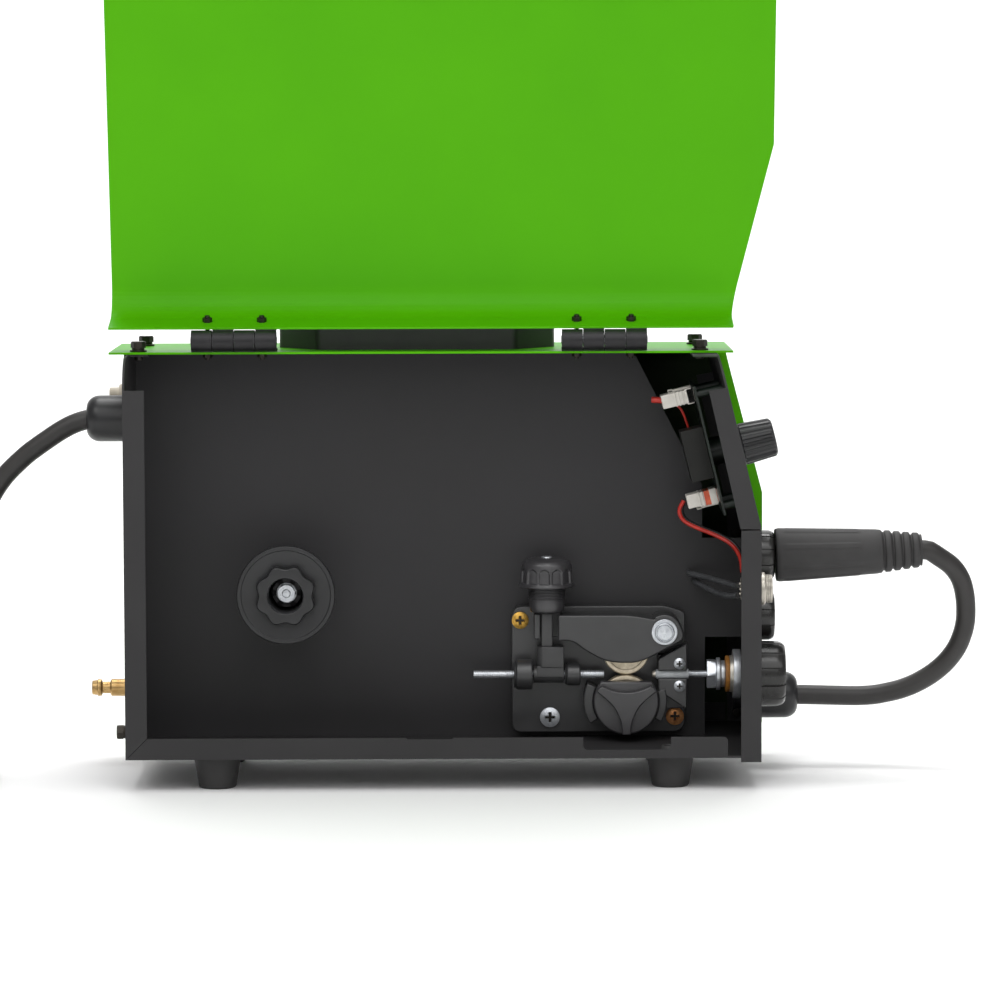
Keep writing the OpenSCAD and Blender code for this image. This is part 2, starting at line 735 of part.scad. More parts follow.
// Screw through leaf and sheet: low head on the leaf, hexagon nut under the sheet
module hinge_screws(dir) for (x = hinge_x, s = [-1, 1])
    translate([x + s * hinge_screw_dx, hinge_y + dir * hinge_screw_dy, 0]) {
        translate([0, 0, top_z + leaf_t]) cylinder(r1 = hinge_nut_r, r2 = hinge_screw_r, h = 2.2);
        translate([0, 0, under_top - 4.5]) cylinder(r = hinge_screw_r, h = sheet + leaf_t + 5);
        translate([0, 0, under_top - 3]) hexagon(hinge_nut_r, 3);
    }

module hinge_body_screws() color("#2a2b2d") hinge_screws(1);

module hinge_door_screws() color("#2a2b2d") open_door() hinge_screws(-1);

module latch_housing() color("#2a2a2c") open_door() difference() {
    union() {
        translate([latch_x - latch_w / 2, door_out_y - 3, latch_z]) cube([latch_w, 3, latch_h]);
        translate([latch_x - latch_w / 2 + 3, door_out_y - 1, latch_z + 3])
            cube([latch_w - 6, slide_y + slide_t + 2 - door_out_y + 1, latch_h - 6]);
        translate([latch_x - latch_w / 2, door_out_y + sheet, latch_z])
            cube([latch_w, slide_y + slide_t + 2 - door_out_y - sheet, latch_h]);
    }
    translate([latch_x - slide_w / 2 - run_fit, slide_y - run_fit, latch_z - 1])
        cube([slide_w + 2 * run_fit, slide_t + 2 * run_fit, latch_h + 2]);
    translate([latch_x - 4 - edge_gap, door_out_y - 4, latch_z + 4])
        cube([8 + 2 * edge_gap, slide_y - door_out_y + 5, latch_h - 8]);
}

module latch_slider() color("#3a3a3c") open_door() {
    translate([latch_x - slide_w / 2, slide_y, latch_z - 7]) cube([slide_w, slide_t, latch_h + 5]);
    translate([latch_x - 4, door_out_y - 5, latch_z + 4.5])
        cube([8, slide_y - door_out_y + 6, latch_h - 9 - latch_travel]);
}

module top_handle() color("#262720") {
    grip_y = near_y + grip_in;
    plinth_y0 = near_y + 70;
    mid_x = top_mid - 2.4;
    leg_r = 22;
    translate([mid_x, 0, top_z]) {
        linear_extrude(plinth_h) hull() for (s = [-1, 1]) {
            translate([s * (plinth_near_l / 2 - 8), plinth_y0 + 8]) circle(8);
            translate([s * (plinth_l / 2 - 10), grip_y]) circle(10);
            translate([s * (plinth_near_l / 2 - 8), 2 * grip_y - plinth_y0 - 8]) circle(8);
        }
        translate([0, grip_y + grip_w / 2, 0]) rotate([90, 0, 0]) linear_extrude(grip_w) difference() {
            hull() {
                translate([-plinth_near_l / 2 + 6, 0]) square([plinth_near_l - 12, 1]);
                for (s = [-1, 1]) translate([s * (plinth_near_l / 2 - leg_r - 10), handle_h - leg_r])
                    circle(leg_r);
            }
            hull() for (s = [-1, 1], z = [plinth_h + 9, handle_h - grip_t - 9])
                translate([s * (plinth_near_l / 2 - leg_r - 12), z]) circle(9);
        }
    }
}

module rubber_feet() color("#3c3c3c") for (sx = [-1, 1], sy = [-1, 1])
    translate([sx * foot_span_x / 2, sy * foot_span_y / 2, 0]) difference() {
        union() {
            cylinder(r1 = foot_low_r, r2 = foot_top_r, h = foot_h);
            cylinder(r = foot_neck_r, h = foot_h + sheet);
            translate([0, 0, foot_h + sheet]) cylinder(r1 = foot_neck_r + 1.2, r2 = foot_neck_r - 1, h = 4);
        }
        translate([0, 0, -1]) cylinder(r = foot_hole_r, h = foot_h + sheet + 6);
    }

// Case bolt: washer, spring washer, hexagon head and shank
module case_bolt() {
    cylinder(r = bolt_head_r + 0.7, h = 1.2);
    cylinder(r = bolt_head_r - 0.8, h = 3);
    translate([0, 0, 2.8]) hexagon(bolt_head_r, 4.4);
    translate([0, 0, -2 * sheet - 3]) cylinder(r = bolt_r, h = 2 * sheet + 4);
}

module case_bolts() color("#303032") {
    for (x = top_bolt_x, y = top_bolt_y) translate([x, y, top_z]) case_bolt();
    for (p = side_bolts) translate([p[0], far_y + sheet, p[1]]) rotate([-90, 0, 0]) case_bolt();
    for (y = rear_bolt_y) to_rear([rear_x, y, rear_bolt_z]) case_bolt();
}

// ---------------------------------------------------------------- wire drive

module feeder_plate() color("#343434") difference() {
    union() {
        side_view(part_y, plate_t) difference() {
            translate([plate_x, plate_z]) square([plate_w, plate_h]);
            for (c = [[0, 0, 1, 1], [1, 0, -1, 1], [0, 1, 1, -1], [1, 1, -1, -1]])
                translate([plate_x + c[0] * plate_w, plate_z + c[1] * plate_h])
                    polygon([[-c[2], -c[3]], [7 * c[2], -c[3]], [-c[2], 7 * c[3]]]);
        }
        difference() {
            intersection() {
                to_near([roller_x, plate_y + 0.1, drive_z])
                    tube(ring_r + ring_wall, ring_r, plate_y - cap_front - 4);
                side_view(plate_y + 1, 60) for (s = [-1, 1]) translate([roller_x, drive_z])
                    polygon([[0, 0], [s * 60, -34], [s * 60, 22]]);
            }
            side_view(clamp_back, 60) clamp_shape(-1, 0.3);
        }
        translate([clamp_x0, clamp_back, plate_z + 18])
            cube([clamp_x1 - clamp_x0, plate_y - clamp_back + 0.1, wire_z + 13 - plate_z - 18]);
    }
    to_near([roller_x, part_y + 1, drive_z]) cylinder(r = shaft_r + run_fit, h = plate_t + 2);
    to_near([pivot_x, part_y + 1, pivot_z]) cylinder(r = pivot_r, h = plate_t + 2);
    for (p = plate_screws)
        to_near([p[0], part_y + 1, p[1]]) cylinder(r = plate_screw_r, h = plate_t + 2);
    to_front([outlet_x - 0.5, wire_y, wire_z]) cylinder(r = outlet_r + 0.2, h = 30);
}

// Outline of one clamp of the outlet tube: s = 1 above it, -1 below, grown by g
module clamp_shape(s, g) {
    high = s > 0 ? [11, 22.6] : [11, 25];
    polygon([[clamp_x0 - g, wire_z + s * (2.8 - g)], [clamp_x1 + g, wire_z + s * (2.8 - g)],
        [clamp_x1 + g, wire_z + s * (high[1] + g)], [clamp_x0 - g, wire_z + s * (high[0] + g)]]);
}

module pan_screw(head_r, shank) {
    difference() {
        cylinder(r1 = head_r, r2 = head_r * 0.86, h = 3.4);
        translate([-head_r * 0.75, -0.6, 2.2]) cube([head_r * 1.5, 1.2, 2]);
        translate([-0.6, -head_r * 0.75, 2.2]) cube([1.2, head_r * 1.5, 2]);
    }
    translate([0, 0, -shank]) cylinder(r = plate_screw_r, h = shank);
}

module feeder_screws() color("#c9b26a") {
    for (k = [0 : 2]) to_near([plate_screws[k][0], plate_y, plate_screws[k][1]])
        pan_screw(plate_heads[k], plate_t + 3);
    for (s = [-1, 1]) to_near([clamp_x1 - 5.5, clamp_front, wire_z + s * clamp_screw_up]) {
        cylinder(r = 4, h = 3);
        translate([0, 0, clamp_front - clamp_back]) cylinder(r = 2, h = clamp_back - clamp_front);
    }
}

module feed_motor() color("#3b3d40") difference() {
    union() {
        translate([roller_x - 30, part_y + sheet, drive_z - 24]) cube([60, 26, 60]);
        to_near([roller_x + 3, far_y - 4, drive_z + 12]) cylinder(r = 26, h = far_y - 4 - part_y - 24);
    }
    to_near([roller_x, part_y + 16, drive_z]) cylinder(r = shaft_r + run_fit, h = 20);
}

module drive_shaft() color("#c4c7ca") {
    to_near([roller_x, part_y + 15, drive_z]) cylinder(r = shaft_r, h = part_y + 15 - roller_front);
    to_near([roller_x, plate_y - edge_gap, drive_z])
        cylinder(r = shaft_r + 3, h = plate_y - edge_gap - roller_y);
}

module drive_roller() color("#a89c8c") to_near([roller_x, roller_y, drive_z]) rotate_extrude()
    polygon([[shaft_r, 0], [drive_r, 0], [drive_r, roller_w / 2 - 1], [drive_r - 0.8, roller_w / 2],
        [drive_r, roller_w / 2 + 1], [drive_r, roller_w], [shaft_r, roller_w]]);

module roller_cap() color("#474647") to_near([roller_x, roller_front - edge_gap, drive_z]) {
    depth = roller_front - edge_gap - cap_front;
    difference() {
        cylinder(r = cap_r, h = depth);
        translate([-cap_r, cap_flat, -1]) cube([2 * cap_r, cap_r, depth + 2]);
    }
    translate([0, 0, depth]) linear_extrude(cap_t) difference() {
        intersection() {
            circle(cap_r);
            translate([-cap_r, -cap_r - 1]) square([2 * cap_r, cap_r + cap_flat - 5]);
        }
        for (s = [-1, 1]) translate([s * 34.5, -25]) circle(32);
    }
}

// Side view of the pressure arm: round eye at the pivot, low belly over the rollers, fork at the rod
module arm_outline() polygon([[rod_x + 9, arm_top], [roller_x + 3.5, arm_top + 0.2],
    [roller_x + 20, arm_top - 3.1], [pivot_x - 5.2, pivot_z + 11.1], [pivot_x, pivot_z + 12.2],
    [pivot_x + 5.2, pivot_z + 11.1], [pivot_x + 9.4, pivot_z + 7.8], [pivot_x + 13.4, pivot_z + 3],
    [pivot_x + 14, pivot_z - 2], [pivot_x + 13.2, pivot_z - 6], [roller_x + 13.6, wire_z + 11.4],
    [roller_x + 9, wire_z + 10.1], [roller_x, wire_z + 9.2], [roller_x - 8, wire_z + 9.6],
    [roller_x - 15.7, wire_z + 11], [roller_x - 22.3, wire_z + 13.6], [roller_x - 29, wire_z + 18.4],
    [roller_x - 34, wire_z + 22.4], [roller_x - 39.4, fork_low], [rod_x + 8, fork_low]]);

module pressure_arm() color("#3d3d3d") difference() {
    union() {
        side_view(arm_back, arm_back - arm_front) arm_outline();
        side_view(arm_back, arm_back - wire_y - 1)
            translate([rod_x - 9, fork_low]) square([20, arm_top - fork_low]);
    }
    to_near([roller_x, roller_y + edge_gap, press_z])
        cylinder(r = press_r + 1, h = roller_w + 2 * edge_gap);
    to_near([roller_x, part_y, press_z]) cylinder(r = axle_r, h = 60);
    to_near([pivot_x, part_y, pivot_z]) cylinder(r = pivot_r + run_fit, h = 60);
    translate([rod_x - 20, arm_front - 1, wire_z]) cube([33.8, wire_y - 5.5 - arm_front + 1, 60]);
    translate([rod_x, wire_y, wire_z]) cylinder(r = rod_r + 1.4, h = 60);
    translate([rod_x - rod_r - 1.4, arm_front - 1, wire_z])
        cube([2 * rod_r + 2.8, wire_y - arm_front + 1, 60]);
}

module arm_pivot_pin() color("#c4c7ca") to_near([pivot_x, part_y - 1, pivot_z]) {
    pin_l = part_y - 1 - arm_front + 0.3;
    cylinder(r = pivot_r, h = pin_l);
    translate([0, 0, pin_l]) cylinder(r = 9.2, h = 1.6);
    translate([0, 0, pin_l + 1.6]) cylinder(r = 6.9, h = 3.6);
}

module roller_axle() color("#9fa2a5") to_near([roller_x, arm_back - 0.5, press_z])
    cylinder(r = axle_r, h = arm_back - arm_front - 1.5);

module pressure_roller() color("#a89c8c") to_near([roller_x, roller_y, press_z])
    tube(press_r, axle_r + run_fit, roller_w);

module tension_rod() color("#303030") difference() {
    union() {
        to_front([rod_x - 9.6, wire_y, wire_z]) cylinder(r = 6, h = 21.7);
        translate([rod_x - 7.2, wire_y - 7, wire_z]) cube([18.9, 14, block_top - wire_z]);
        translate([rod_x, wire_y, wire_z + 4]) cylinder(r = rod_r, h = knob_top + 0.7 - wire_z - 4);
    }
    to_front([rod_x - 20, wire_y, wire_z]) cylinder(r = inlet_r + run_fit, h = 40);
    translate([rod_x - 20, wire_y - 8, wire_z - 20]) cube([40, 16, 14]);
}

module tension_knob() color("#3f3e40") translate([rod_x, wire_y, sleeve_z]) difference() {
    union() {
        cylinder(r = tension_sleeve_r - 0.8, h = sleeve_l);
        ribs(16, tension_sleeve_r - 1, 2, sleeve_l);
        translate([0, 0, sleeve_l]) {
            cylinder(r = tension_head_r, h = 1.8);
            cylinder(r = tension_head_r - 1.2, h = head_l);
            ribs(12, tension_head_r - 1.5, 2.4, head_l - 6);
        }
    }
    translate([0, 0, -1]) cylinder(r = rod_r + run_fit, h = sleeve_l + head_l + 2);
    translate([0, 0, -1]) cylinder(r = 9.2, h = 25);
}

module tension_spring() color("#8d9093") translate([rod_x, wire_y, sleeve_z + 0.4]) tube(8.4, rod_r + 1, 23.4);

module wire_guides() color("#3c3c3c") {
    difference() {
        union() {
            to_front([guide_x, wire_y, wire_z]) cylinder(r = 10.8, h = guide_l);
            to_front([rod_x + 12.6, wire_y, wire_z]) cylinder(r = 8.2, h = 11);
            translate([guide_x, wire_y, wire_z - 6]) cube([guide_l, plate_y - wire_y, 12]);
            translate([rod_x + 12.6, wire_y, wire_z - 5]) cube([11, plate_y - wire_y, 10]);
        }
        to_front([rod_x - 40, wire_y, wire_z]) cylinder(r = inlet_r, h = 80);
    }
    for (s = [-1, 1]) difference() {
        side_view(clamp_back, clamp_back - clamp_front) clamp_shape(s, 0);
        to_front([outlet_x - 0.5, wire_y, wire_z]) cylinder(r = outlet_r, h = 30);
        to_near([clamp_x1 - 5.5, clamp_back + 1, wire_z + s * clamp_screw_up]) cylinder(r = 2, h = 20);
    }
}

module inlet_tube() color("#cfd1d3") to_front([rod_x - 52, wire_y, wire_z])
    tube(inlet_r, wire_bore_r, 92.3);

module outlet_tube() color("#5b5d60") to_front([outlet_x, wire_y, wire_z])
    tube(outlet_r, wire_bore_r, torch_x - outlet_x);

// Places children along the torch line, x in front of the outlet tube
module torch_line(x) to_front([torch_x + x, wire_y, wire_z]) children();

module torch_connector() color("#a39c93") difference() {
    union() {
        torch_line(0) cylinder(r = stud_r, h = stud_l + 1);
        torch_line(stud_l) cylinder(r = torch_rod_r, h = 16);
        torch_line(stud_l + 13.1) cylinder(r = torch_stem_r, h = 3);
        torch_line(stud_l + 16) cylinder(r = torch_stem_r, h = front_x + 14 - torch_x - stud_l - 16);
    }
    torch_line(-1) cylinder(r = wire_bore_r, h = 90);
    to_front([front_x - 6, wire_y, wire_z]) cylinder(r = torch_bore_r, h = 30);
}

module torch_nuts() color("#a7aaad") {
    torch_line(stud_l + 0.1) difference() {
        hexagon(11, 6.4);
        translate([0, 0, -1]) cylinder(r = torch_rod_r, h = 9);
    }
    torch_line(stud_l + 6.6) tube(11.5, torch_rod_r, 3);
    torch_line(stud_l + 9.7) tube(9.5, torch_rod_r, 3.3);
    torch_line(stud_l + 18.3) tube(17.4, torch_stem_r, 5.6);
}

module torch_shroud() color("#1d1e20") difference() {
    union() {
        to_front([front_x - 7.5, wire_y, wire_z]) cylinder(r = torch_body_r, h = 9);
        to_front([front_x, wire_y, wire_z]) cylinder(r = shroud_r - 1, h = shroud_out);
        to_front([front_x, wire_y, wire_z]) ribs(12, shroud_r - 1.4, 2.8, shroud_out);
    }
    to_front([front_x - 10, wire_y, wire_z]) cylinder(r = torch_stem_r, h = 20);
    to_front([front_x + 3, wire_y, wire_z]) cylinder(r = shroud_r - 4, h = 40);
}

// ---------------------------------------------------------------- spool hub

module hub_base() color("#2f2f2f") {
    to_near([hub_x, part_y, hub_z]) cylinder(r = hub_r + 2, h = 3.5);
    to_near([hub_x, part_y + 6, hub_z]) cylinder(r = spindle_r, h = part_y + 6 - hub_front - 12);
}

module spool_hub() color("#2f2f2f") to_near([hub_x, hub_back + 4, hub_z]) difference() {
    union() {
        cylinder(r = hub_flange_r, h = hub_flange_t);
        cylinder(r = hub_r, h = hub_flange_t + hub_seat_l);
        translate([0, 0, hub_flange_t + hub_seat_l]) cylinder(r = hub_r - 4, h = 4);
    }
    translate([0, 0, -1]) cylinder(r = spindle_r + run_fit, h = 90);
    translate([0, 0, 16]) cylinder(r = hub_hole_r, h = 90);
}

module spool_cap() color("#3e3e3e") to_near([hub_x, hub_front - 0.2, hub_z]) difference() {
    union() {
        cylinder(r = spool_cap_r, h = cap_disc_t);
        translate([0, 0, cap_disc_t - 0.5]) linear_extrude(cap_grip_h + 0.5) {
            circle(18.9);
            for (k = [0 : 7]) rotate(22.5 + k * 45) translate([14.9, 0]) circle(6.5);
        }
    }
    translate([0, 0, -1]) cylinder(r = hub_r - 4 + run_fit, h = 5.4);
    translate([0, 0, -1]) cylinder(r = hub_hole_r, h = 30);
}

module brake_spring() color("#8d9093") to_near([hub_x, hub_back - 13, hub_z]) tube(9, spindle_r + 0.6, 20.5);

module hub_bolt() color("#c4c7ca") to_near([hub_x, hub_back - 34, hub_z]) {
    difference() {
        hexagon(hub_hole_r - 0.6, 4);
        translate([0, 0, -1]) cylinder(r = spindle_r, h = 3.2);
    }
    translate([0, 0, 4]) hexagon(6.8, 6);
}

// ---------------------------------------------------------------- controls and wiring

module control_board() color("#3f6b4a") {
    on_slope(knob_z, board_y) translate([-board_up, 0, 0]) {
        translate([-board_h / 2, -board_w / 2, -board_gap - board_t]) cube([board_h, board_w, board_t]);
        for (sx = [-1, 1], sy = [-1, 1])
            translate([sx * (board_h / 2 - 6), sy * (board_w / 2 - 6), -board_gap])
                cylinder(r = post_r, h = board_gap - sheet);
    }
    on_slope(knob_z, knob_y) difference() {
        translate([0, 0, -board_gap]) cylinder(r = 10, h = board_gap - sheet);
        translate([0, 0, -8]) cylinder(r = knob_shaft_r + run_fit, h = 20);
    }
}

// Connector housing with its latch; out is the side of the latch
module connector(along, out) {
    translate([-connector_h / 2, -connector_w / 2, 0]) cube([connector_h, connector_w, along]);
    translate([out * (connector_h / 2 + 1) - 1, -connector_w / 5, 0])
        cube([2, connector_w * 0.4, along * 0.75]);
}

module board_connectors() color("#f2f0ea") for (k = [0, 1])
    on_slope(knob_z, connector_y)
        translate([-connectors[k][0], 0, -board_gap - board_t - connectors[k][1]])
            connector(connectors[k][1], 2 * k - 1);

module control_knob() color("#232427") on_slope(knob_z, knob_y) {
    translate([0, 0, 1.5]) {
        cylinder(r1 = knob_r - 0.4, r2 = knob_r - 1.6, h = knob_l);
        ribs(18, knob_r - 1.6, 2.2, knob_l - 2);
    }
    translate([0, 0, -7]) cylinder(r = knob_shaft_r - 0.2, h = 12);
}

// Wires held inside the bay: from the lower connector to the front, and the remote socket's leads
board_wire = [for (p = [[-49, 76, -37], [-52, 76, -44], [-49, 76, -51], [-40, 75, -56], [-25, 73, -62],
    [-15, 68, -68], [-10, 60, -76], [-9, 52, -85]]) [front_x + p[0], near_y + p[1], knob_z + p[2]]];
upper_lead = concat([[front_x - 45.5, part_y, remote_z + 5.5]],
    [for (p = [[-44.5, 94, 5.5], [-37, 84, 4.6], [-27, 70, 3.2], [-18, 54, 2]])
        [front_x + p[0], near_y + p[1], remote_z + p[2]]], [[front_x - 14, remote_y, remote_z + 2]]);
lower_lead = concat([[front_x - 41.5, part_y, remote_z - 0.5]],
    [for (p = [[-40.5, 94, -0.7], [-34.5, 82, -3], [-27, 68, -5.6], [-20, 54, -6]])
        [front_x + p[0], near_y + p[1], remote_z + p[2]]], [[front_x - 14, remote_y, remote_z - 5]]);

module panel_wires() color("#c03028") {
    swept(board_wire, board_wire_r, 8, [0, 1, 0]);
    translate([-1.6, -2.6, 1]) swept(board_wire, board_wire_r, 8, [0, 1, 0]);
    swept(upper_lead, lead_r, 8, [0, 0, 1]);
    swept(lower_lead, lead_r, 8, [0, 0, 1]);
}

module remote_socket() color("#c9cbce") {
    to_front([front_x, remote_y, remote_z]) difference() {
        union() {
            cylinder(r = remote_r, h = 5);
            cylinder(r = remote_r - 1.5, h = 10);
            translate([0, 0, -sheet]) cylinder(r = remote_r - 2, h = sheet);
            translate([0, 0, -sheet - 4]) cylinder(r = remote_r, h = 4);
            translate([0, 0, -12]) cylinder(r = remote_r - 3.5, h = 12);
        }
        translate([0, 0, 1]) cylinder(r = remote_r - 3, h = 20);
    }
    for (a = [0 : 90 : 270])
        to_front([front_x - 13, remote_y + 3.5 * cos(a), remote_z + 3.5 * sin(a)])
            cylinder(r = 0.9, h = 20);
}

module cable_sockets() color("#1d1e20") for (z = [plus_z, minus_z])
    to_front([front_x, socket_y, z]) difference() {
    union() {
        cylinder(r = socket_r - 0.8, h = socket_out);
        ribs(10, socket_r - 1, 2, socket_out - 1);
        translate([0, 0, -6]) cylinder(r = socket_r - 4, h = 6);
    }
    translate([0, 0, -4]) cylinder(r = socket_bore_r, h = 40);
    translate([0, 0, socket_out - 8]) cylinder(r = 11, h = 10);
}

// Cable gland pointing along +Z: thread, inner nut, hexagon foot, round body and domed end
module gland(body_l, bore) difference() {
    union() {
        translate([0, 0, -12]) cylinder(r = gland_thread_r, h = 12);
        translate([0, 0, -sheet - 5]) hexagon(gland_thread_r + 3, 5);
        hexagon(gland_r + 0.8, 7);
        translate([0, 0, 6]) cylinder(r = gland_r - 0.6, h = body_l - 6);
        translate([0, 0, body_l]) rotate_extrude() polygon([[0, -1], [gland_r - 1, -1], [gland_r - 1, 2],
            [gland_r - 2, 0.6 * dome_l], [gland_r - 5, 0.9 * dome_l], [bore + 2.5, dome_l], [0, dome_l]]);
    }
    translate([0, 0, body_l - 4]) cylinder(r = bore, h = 20);
}

module cable_glands() color("#2b2c2f") {
    to_rear([rear_x, gland_y, power_gland_z]) gland(power_gland_l, cord_r);
    to_front([front_x, gland_y, jumper_gland_z]) gland(jumper_gland_l, jumper_r);
}

module gas_nipple() color("#c9a24a") to_rear([rear_x, nipple_y, nipple_z]) difference() {
    union() {
        translate([0, 0, -10]) cylinder(r = nipple_thread_r, h = 11);
        translate([0, 0, -sheet - 4]) hexagon(nipple_hex_r, 4);
        hexagon(nipple_hex_r, 4);
        cylinder(r = 6.25, h = 22.4);
        cylinder(r = 4.15, h = nipple_stem_l);
        translate([0, 0, nipple_stem_l - 7]) cylinder(r = barb_r + 0.65, h = 3);
        translate([0, 0, nipple_stem_l - 4.6]) cylinder(r = barb_r, h = 5);
    }
    translate([0, 0, -11]) cylinder(r = 2, h = 60);
}

module reset_breaker() color("#e4d8bf") to_rear([rear_x, breaker_y, breaker_z]) difference() {
    union() {
        translate([0, 0, -30]) cylinder(r = breaker_r, h = 31);
        translate([0, 0, -32]) cylinder(r = breaker_r + 3.4, h = 29);
        cylinder(r = breaker_r + 0.8, h = 3);
        cylinder(r = breaker_r - 0.5, h = 14);
    }
    translate([0, 0, 2]) cylinder(r = button_r + run_fit, h = 20);
}

module reset_button() color("#e9e2d0") to_rear([rear_x - 6, breaker_y, breaker_z])
    cylinder(r = button_r, h = 15);

// ---------------------------------------------------------------- inside the far side

module fan_frame() color("#242528") difference() {
    translate([rear_x + sheet, fan_y - fan_size / 2, fan_z - fan_size / 2])
        cube([fan_t, fan_size, fan_size]);
    to_front([rear_x + sheet + 3, fan_y, fan_z]) cylinder(r = fan_bore_r, h = fan_t);
    to_front([rear_x, fan_y, fan_z]) linear_extrude(10) difference() {
        circle(fan_bore_r - 0.5);
        circle(fan_hub_r);
        for (a = [45, 135]) rotate(a) square([2 * fan_bore_r, 5], center = true);
    }
    to_front([rear_x, fan_y, fan_z]) cylinder(r = fan_pin_r + run_fit, h = 10);
}

module fan_rotor() color("#3a3b3e") {
    to_front([rear_x + 6, fan_y, fan_z]) cylinder(r = fan_hub_r - 1, h = 14);
    to_front([rear_x + 2.5, fan_y, fan_z]) cylinder(r = fan_pin_r, h = 4);
    for (k = [0 : blades - 1]) to_front([rear_x + 8, fan_y, fan_z]) rotate([0, 0, k * 360 / blades])
        translate([10, 0, 5]) rotate([38, 0, 0]) translate([0, -0.8, -6]) cube([19, 1.6, 12]);
}

module inverter_unit() color("#2f6b3c") {
    translate([unit_x, unit_y, unit_z]) cube([unit_l, unit_t, unit_h]);
    for (k = [0 : fins - 1]) translate([fin_x, fin_y + k * fin_step, fin_z]) {
        cube([fin_side, fin_t, fin_side]);
        translate([0, 0, 42]) cube([fin_side, fin_step, 3]);
    }
    translate([fin_x, unit_y - 3, fin_z]) cube([fin_side, 3, fin_side]);
    for (k = [0 : 2])
        to_near([unit_x + 140 + k * (2 * can_r + 2), unit_y, unit_z + 150]) cylinder(r = can_r, h = can_l);
    for (z = [unit_z + 10, unit_z + unit_h - 10], x = [unit_x + 8, unit_x + unit_l - 10])
        to_near([x, far_y, z]) cylinder(r = post_r, h = far_y - unit_y - unit_t);
}

// ---------------------------------------------------------------- cords

module power_cord() color("#1b1c1e") swept(cord_points, cord_r, 8, [0, 1, 0]);

module power_cord_coil() color("#1b1c1e") swept(coil_route, cord_r, 6, [0, 0, 1]);

module cord_tie() color("#2c2d2f") {
    wall = 0.8;
    low_z = 0.1;
    outer_a = coil_outer_r - turn_step / 2 + cord_r + 0.4;
    inner_a = coil_inner_r + turn_step / 2 - cord_r - 0.4;
    translate([coil_x, coil_y, 0]) difference() {
        translate([-4.5, -outer_a - wall, low_z])
            cube([9, outer_a - inner_a + 2 * wall, upper_z + cord_r + 1 + wall]);
        translate([-5, -outer_a, low_z + wall])
            cube([10, outer_a - inner_a, upper_z + cord_r + 1 - wall]);
    }
}

module power_plug() color("#202124") translate(tail_end)
    rotate([0, 0, atan2(tail_dir[1], tail_dir[0])]) rotate([0, 90, 0]) {
    difference() {
        union() {
            cylinder(r1 = 9.5, r2 = 13, h = 14);
            translate([0, 0, 14]) cylinder(r1 = 13, r2 = 19, h = 12);
            translate([0, 0, 26]) cylinder(r = 19, h = 12);
        }
        for (s = [-1, 1]) translate([s * 19, -4, 30]) cube([5, 8, 10]);
    }
    for (s = [-1, 1]) translate([0, s * 9.5, 38]) cylinder(r = 2.4, h = 19);
}

module jumper_cable() color("#232427") swept(jumper_points, jumper_r, 10, [0, 1, 0]);

module jumper_plug() color("#222326")
    translate([plug_back, socket_y, plus_z]) rotate([0, 90 - plug_tilt, 0]) {
        cylinder(r1 = 19.1, r2 = 15.5, h = 77);
        translate([0, 0, 76]) cylinder(r1 = 14.6, r2 = 11.8, h = sleeve_len - 76);
        for (k = [0 : 3]) translate([0, 0, 79 + k * 6.6]) cylinder(r = 14.6 - k * 0.8, h = 4);
        ribs(8, 17, 3, 60);
        translate([0, 0, -socket_out + 1]) cylinder(r = socket_bore_r - 0.9, h = socket_out);
        translate([0, 0, -6.5]) cylinder(r = 10.3, h = 8);
    }

base_tray();
rear_panel();
front_panel_lower();
control_panel();
partition_wall();
fixed_cover();
side_door();
hinge_fixed_leaves();
hinge_door_leaves();
hinge_pins();
hinge_body_screws();
hinge_door_screws();
latch_housing();
latch_slider();
top_handle();
rubber_feet();
case_bolts();
feeder_plate();
feeder_screws();
feed_motor();
drive_shaft();
drive_roller();
roller_cap();
pressure_arm();
arm_pivot_pin();
roller_axle();
pressure_roller();
tension_rod();
tension_knob();
tension_spring();
wire_guides();
inlet_tube();
outlet_tube();
torch_connector();
torch_nuts();
torch_shroud();
hub_base();
spool_hub();
spool_cap();
brake_spring();
hub_bolt();
control_board();
board_connectors();
control_knob();
panel_wires();
remote_socket();
cable_sockets();
gas_nipple();
reset_breaker();
reset_button();
cable_glands();
fan_frame();
fan_rotor();
inverter_unit();
power_cord();
power_cord_coil();
cord_tie();
power_plug();
jumper_cable();
jumper_plug();
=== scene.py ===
"""Looks of a compact wire feeder with its wire bay open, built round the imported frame.

Every length is in millimetres until a mesh is written, where MM turns it into metres.
+X points out of the front panel, +Y away from the open wire bay and +Z up.
"""

import json
import math

import bmesh
import bpy
import numpy as np
from mathutils import Matrix, Vector


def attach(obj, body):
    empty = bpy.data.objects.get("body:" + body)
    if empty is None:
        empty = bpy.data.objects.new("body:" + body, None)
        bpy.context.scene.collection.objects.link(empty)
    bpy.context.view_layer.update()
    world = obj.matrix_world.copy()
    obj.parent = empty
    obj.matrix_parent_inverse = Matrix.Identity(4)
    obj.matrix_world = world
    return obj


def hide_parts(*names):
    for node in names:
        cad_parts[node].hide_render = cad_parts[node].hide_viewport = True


MM = 0.001
TURN = 2 * math.pi

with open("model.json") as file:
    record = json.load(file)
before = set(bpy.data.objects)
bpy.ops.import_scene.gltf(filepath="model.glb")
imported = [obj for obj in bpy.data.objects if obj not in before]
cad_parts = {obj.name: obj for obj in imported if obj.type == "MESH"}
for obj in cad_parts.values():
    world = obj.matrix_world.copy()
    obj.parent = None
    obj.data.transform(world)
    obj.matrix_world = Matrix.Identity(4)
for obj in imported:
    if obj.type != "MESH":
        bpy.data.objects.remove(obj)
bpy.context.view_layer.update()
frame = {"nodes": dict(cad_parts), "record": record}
scene = bpy.context.scene


# ------------------------------------------------------------------ camera

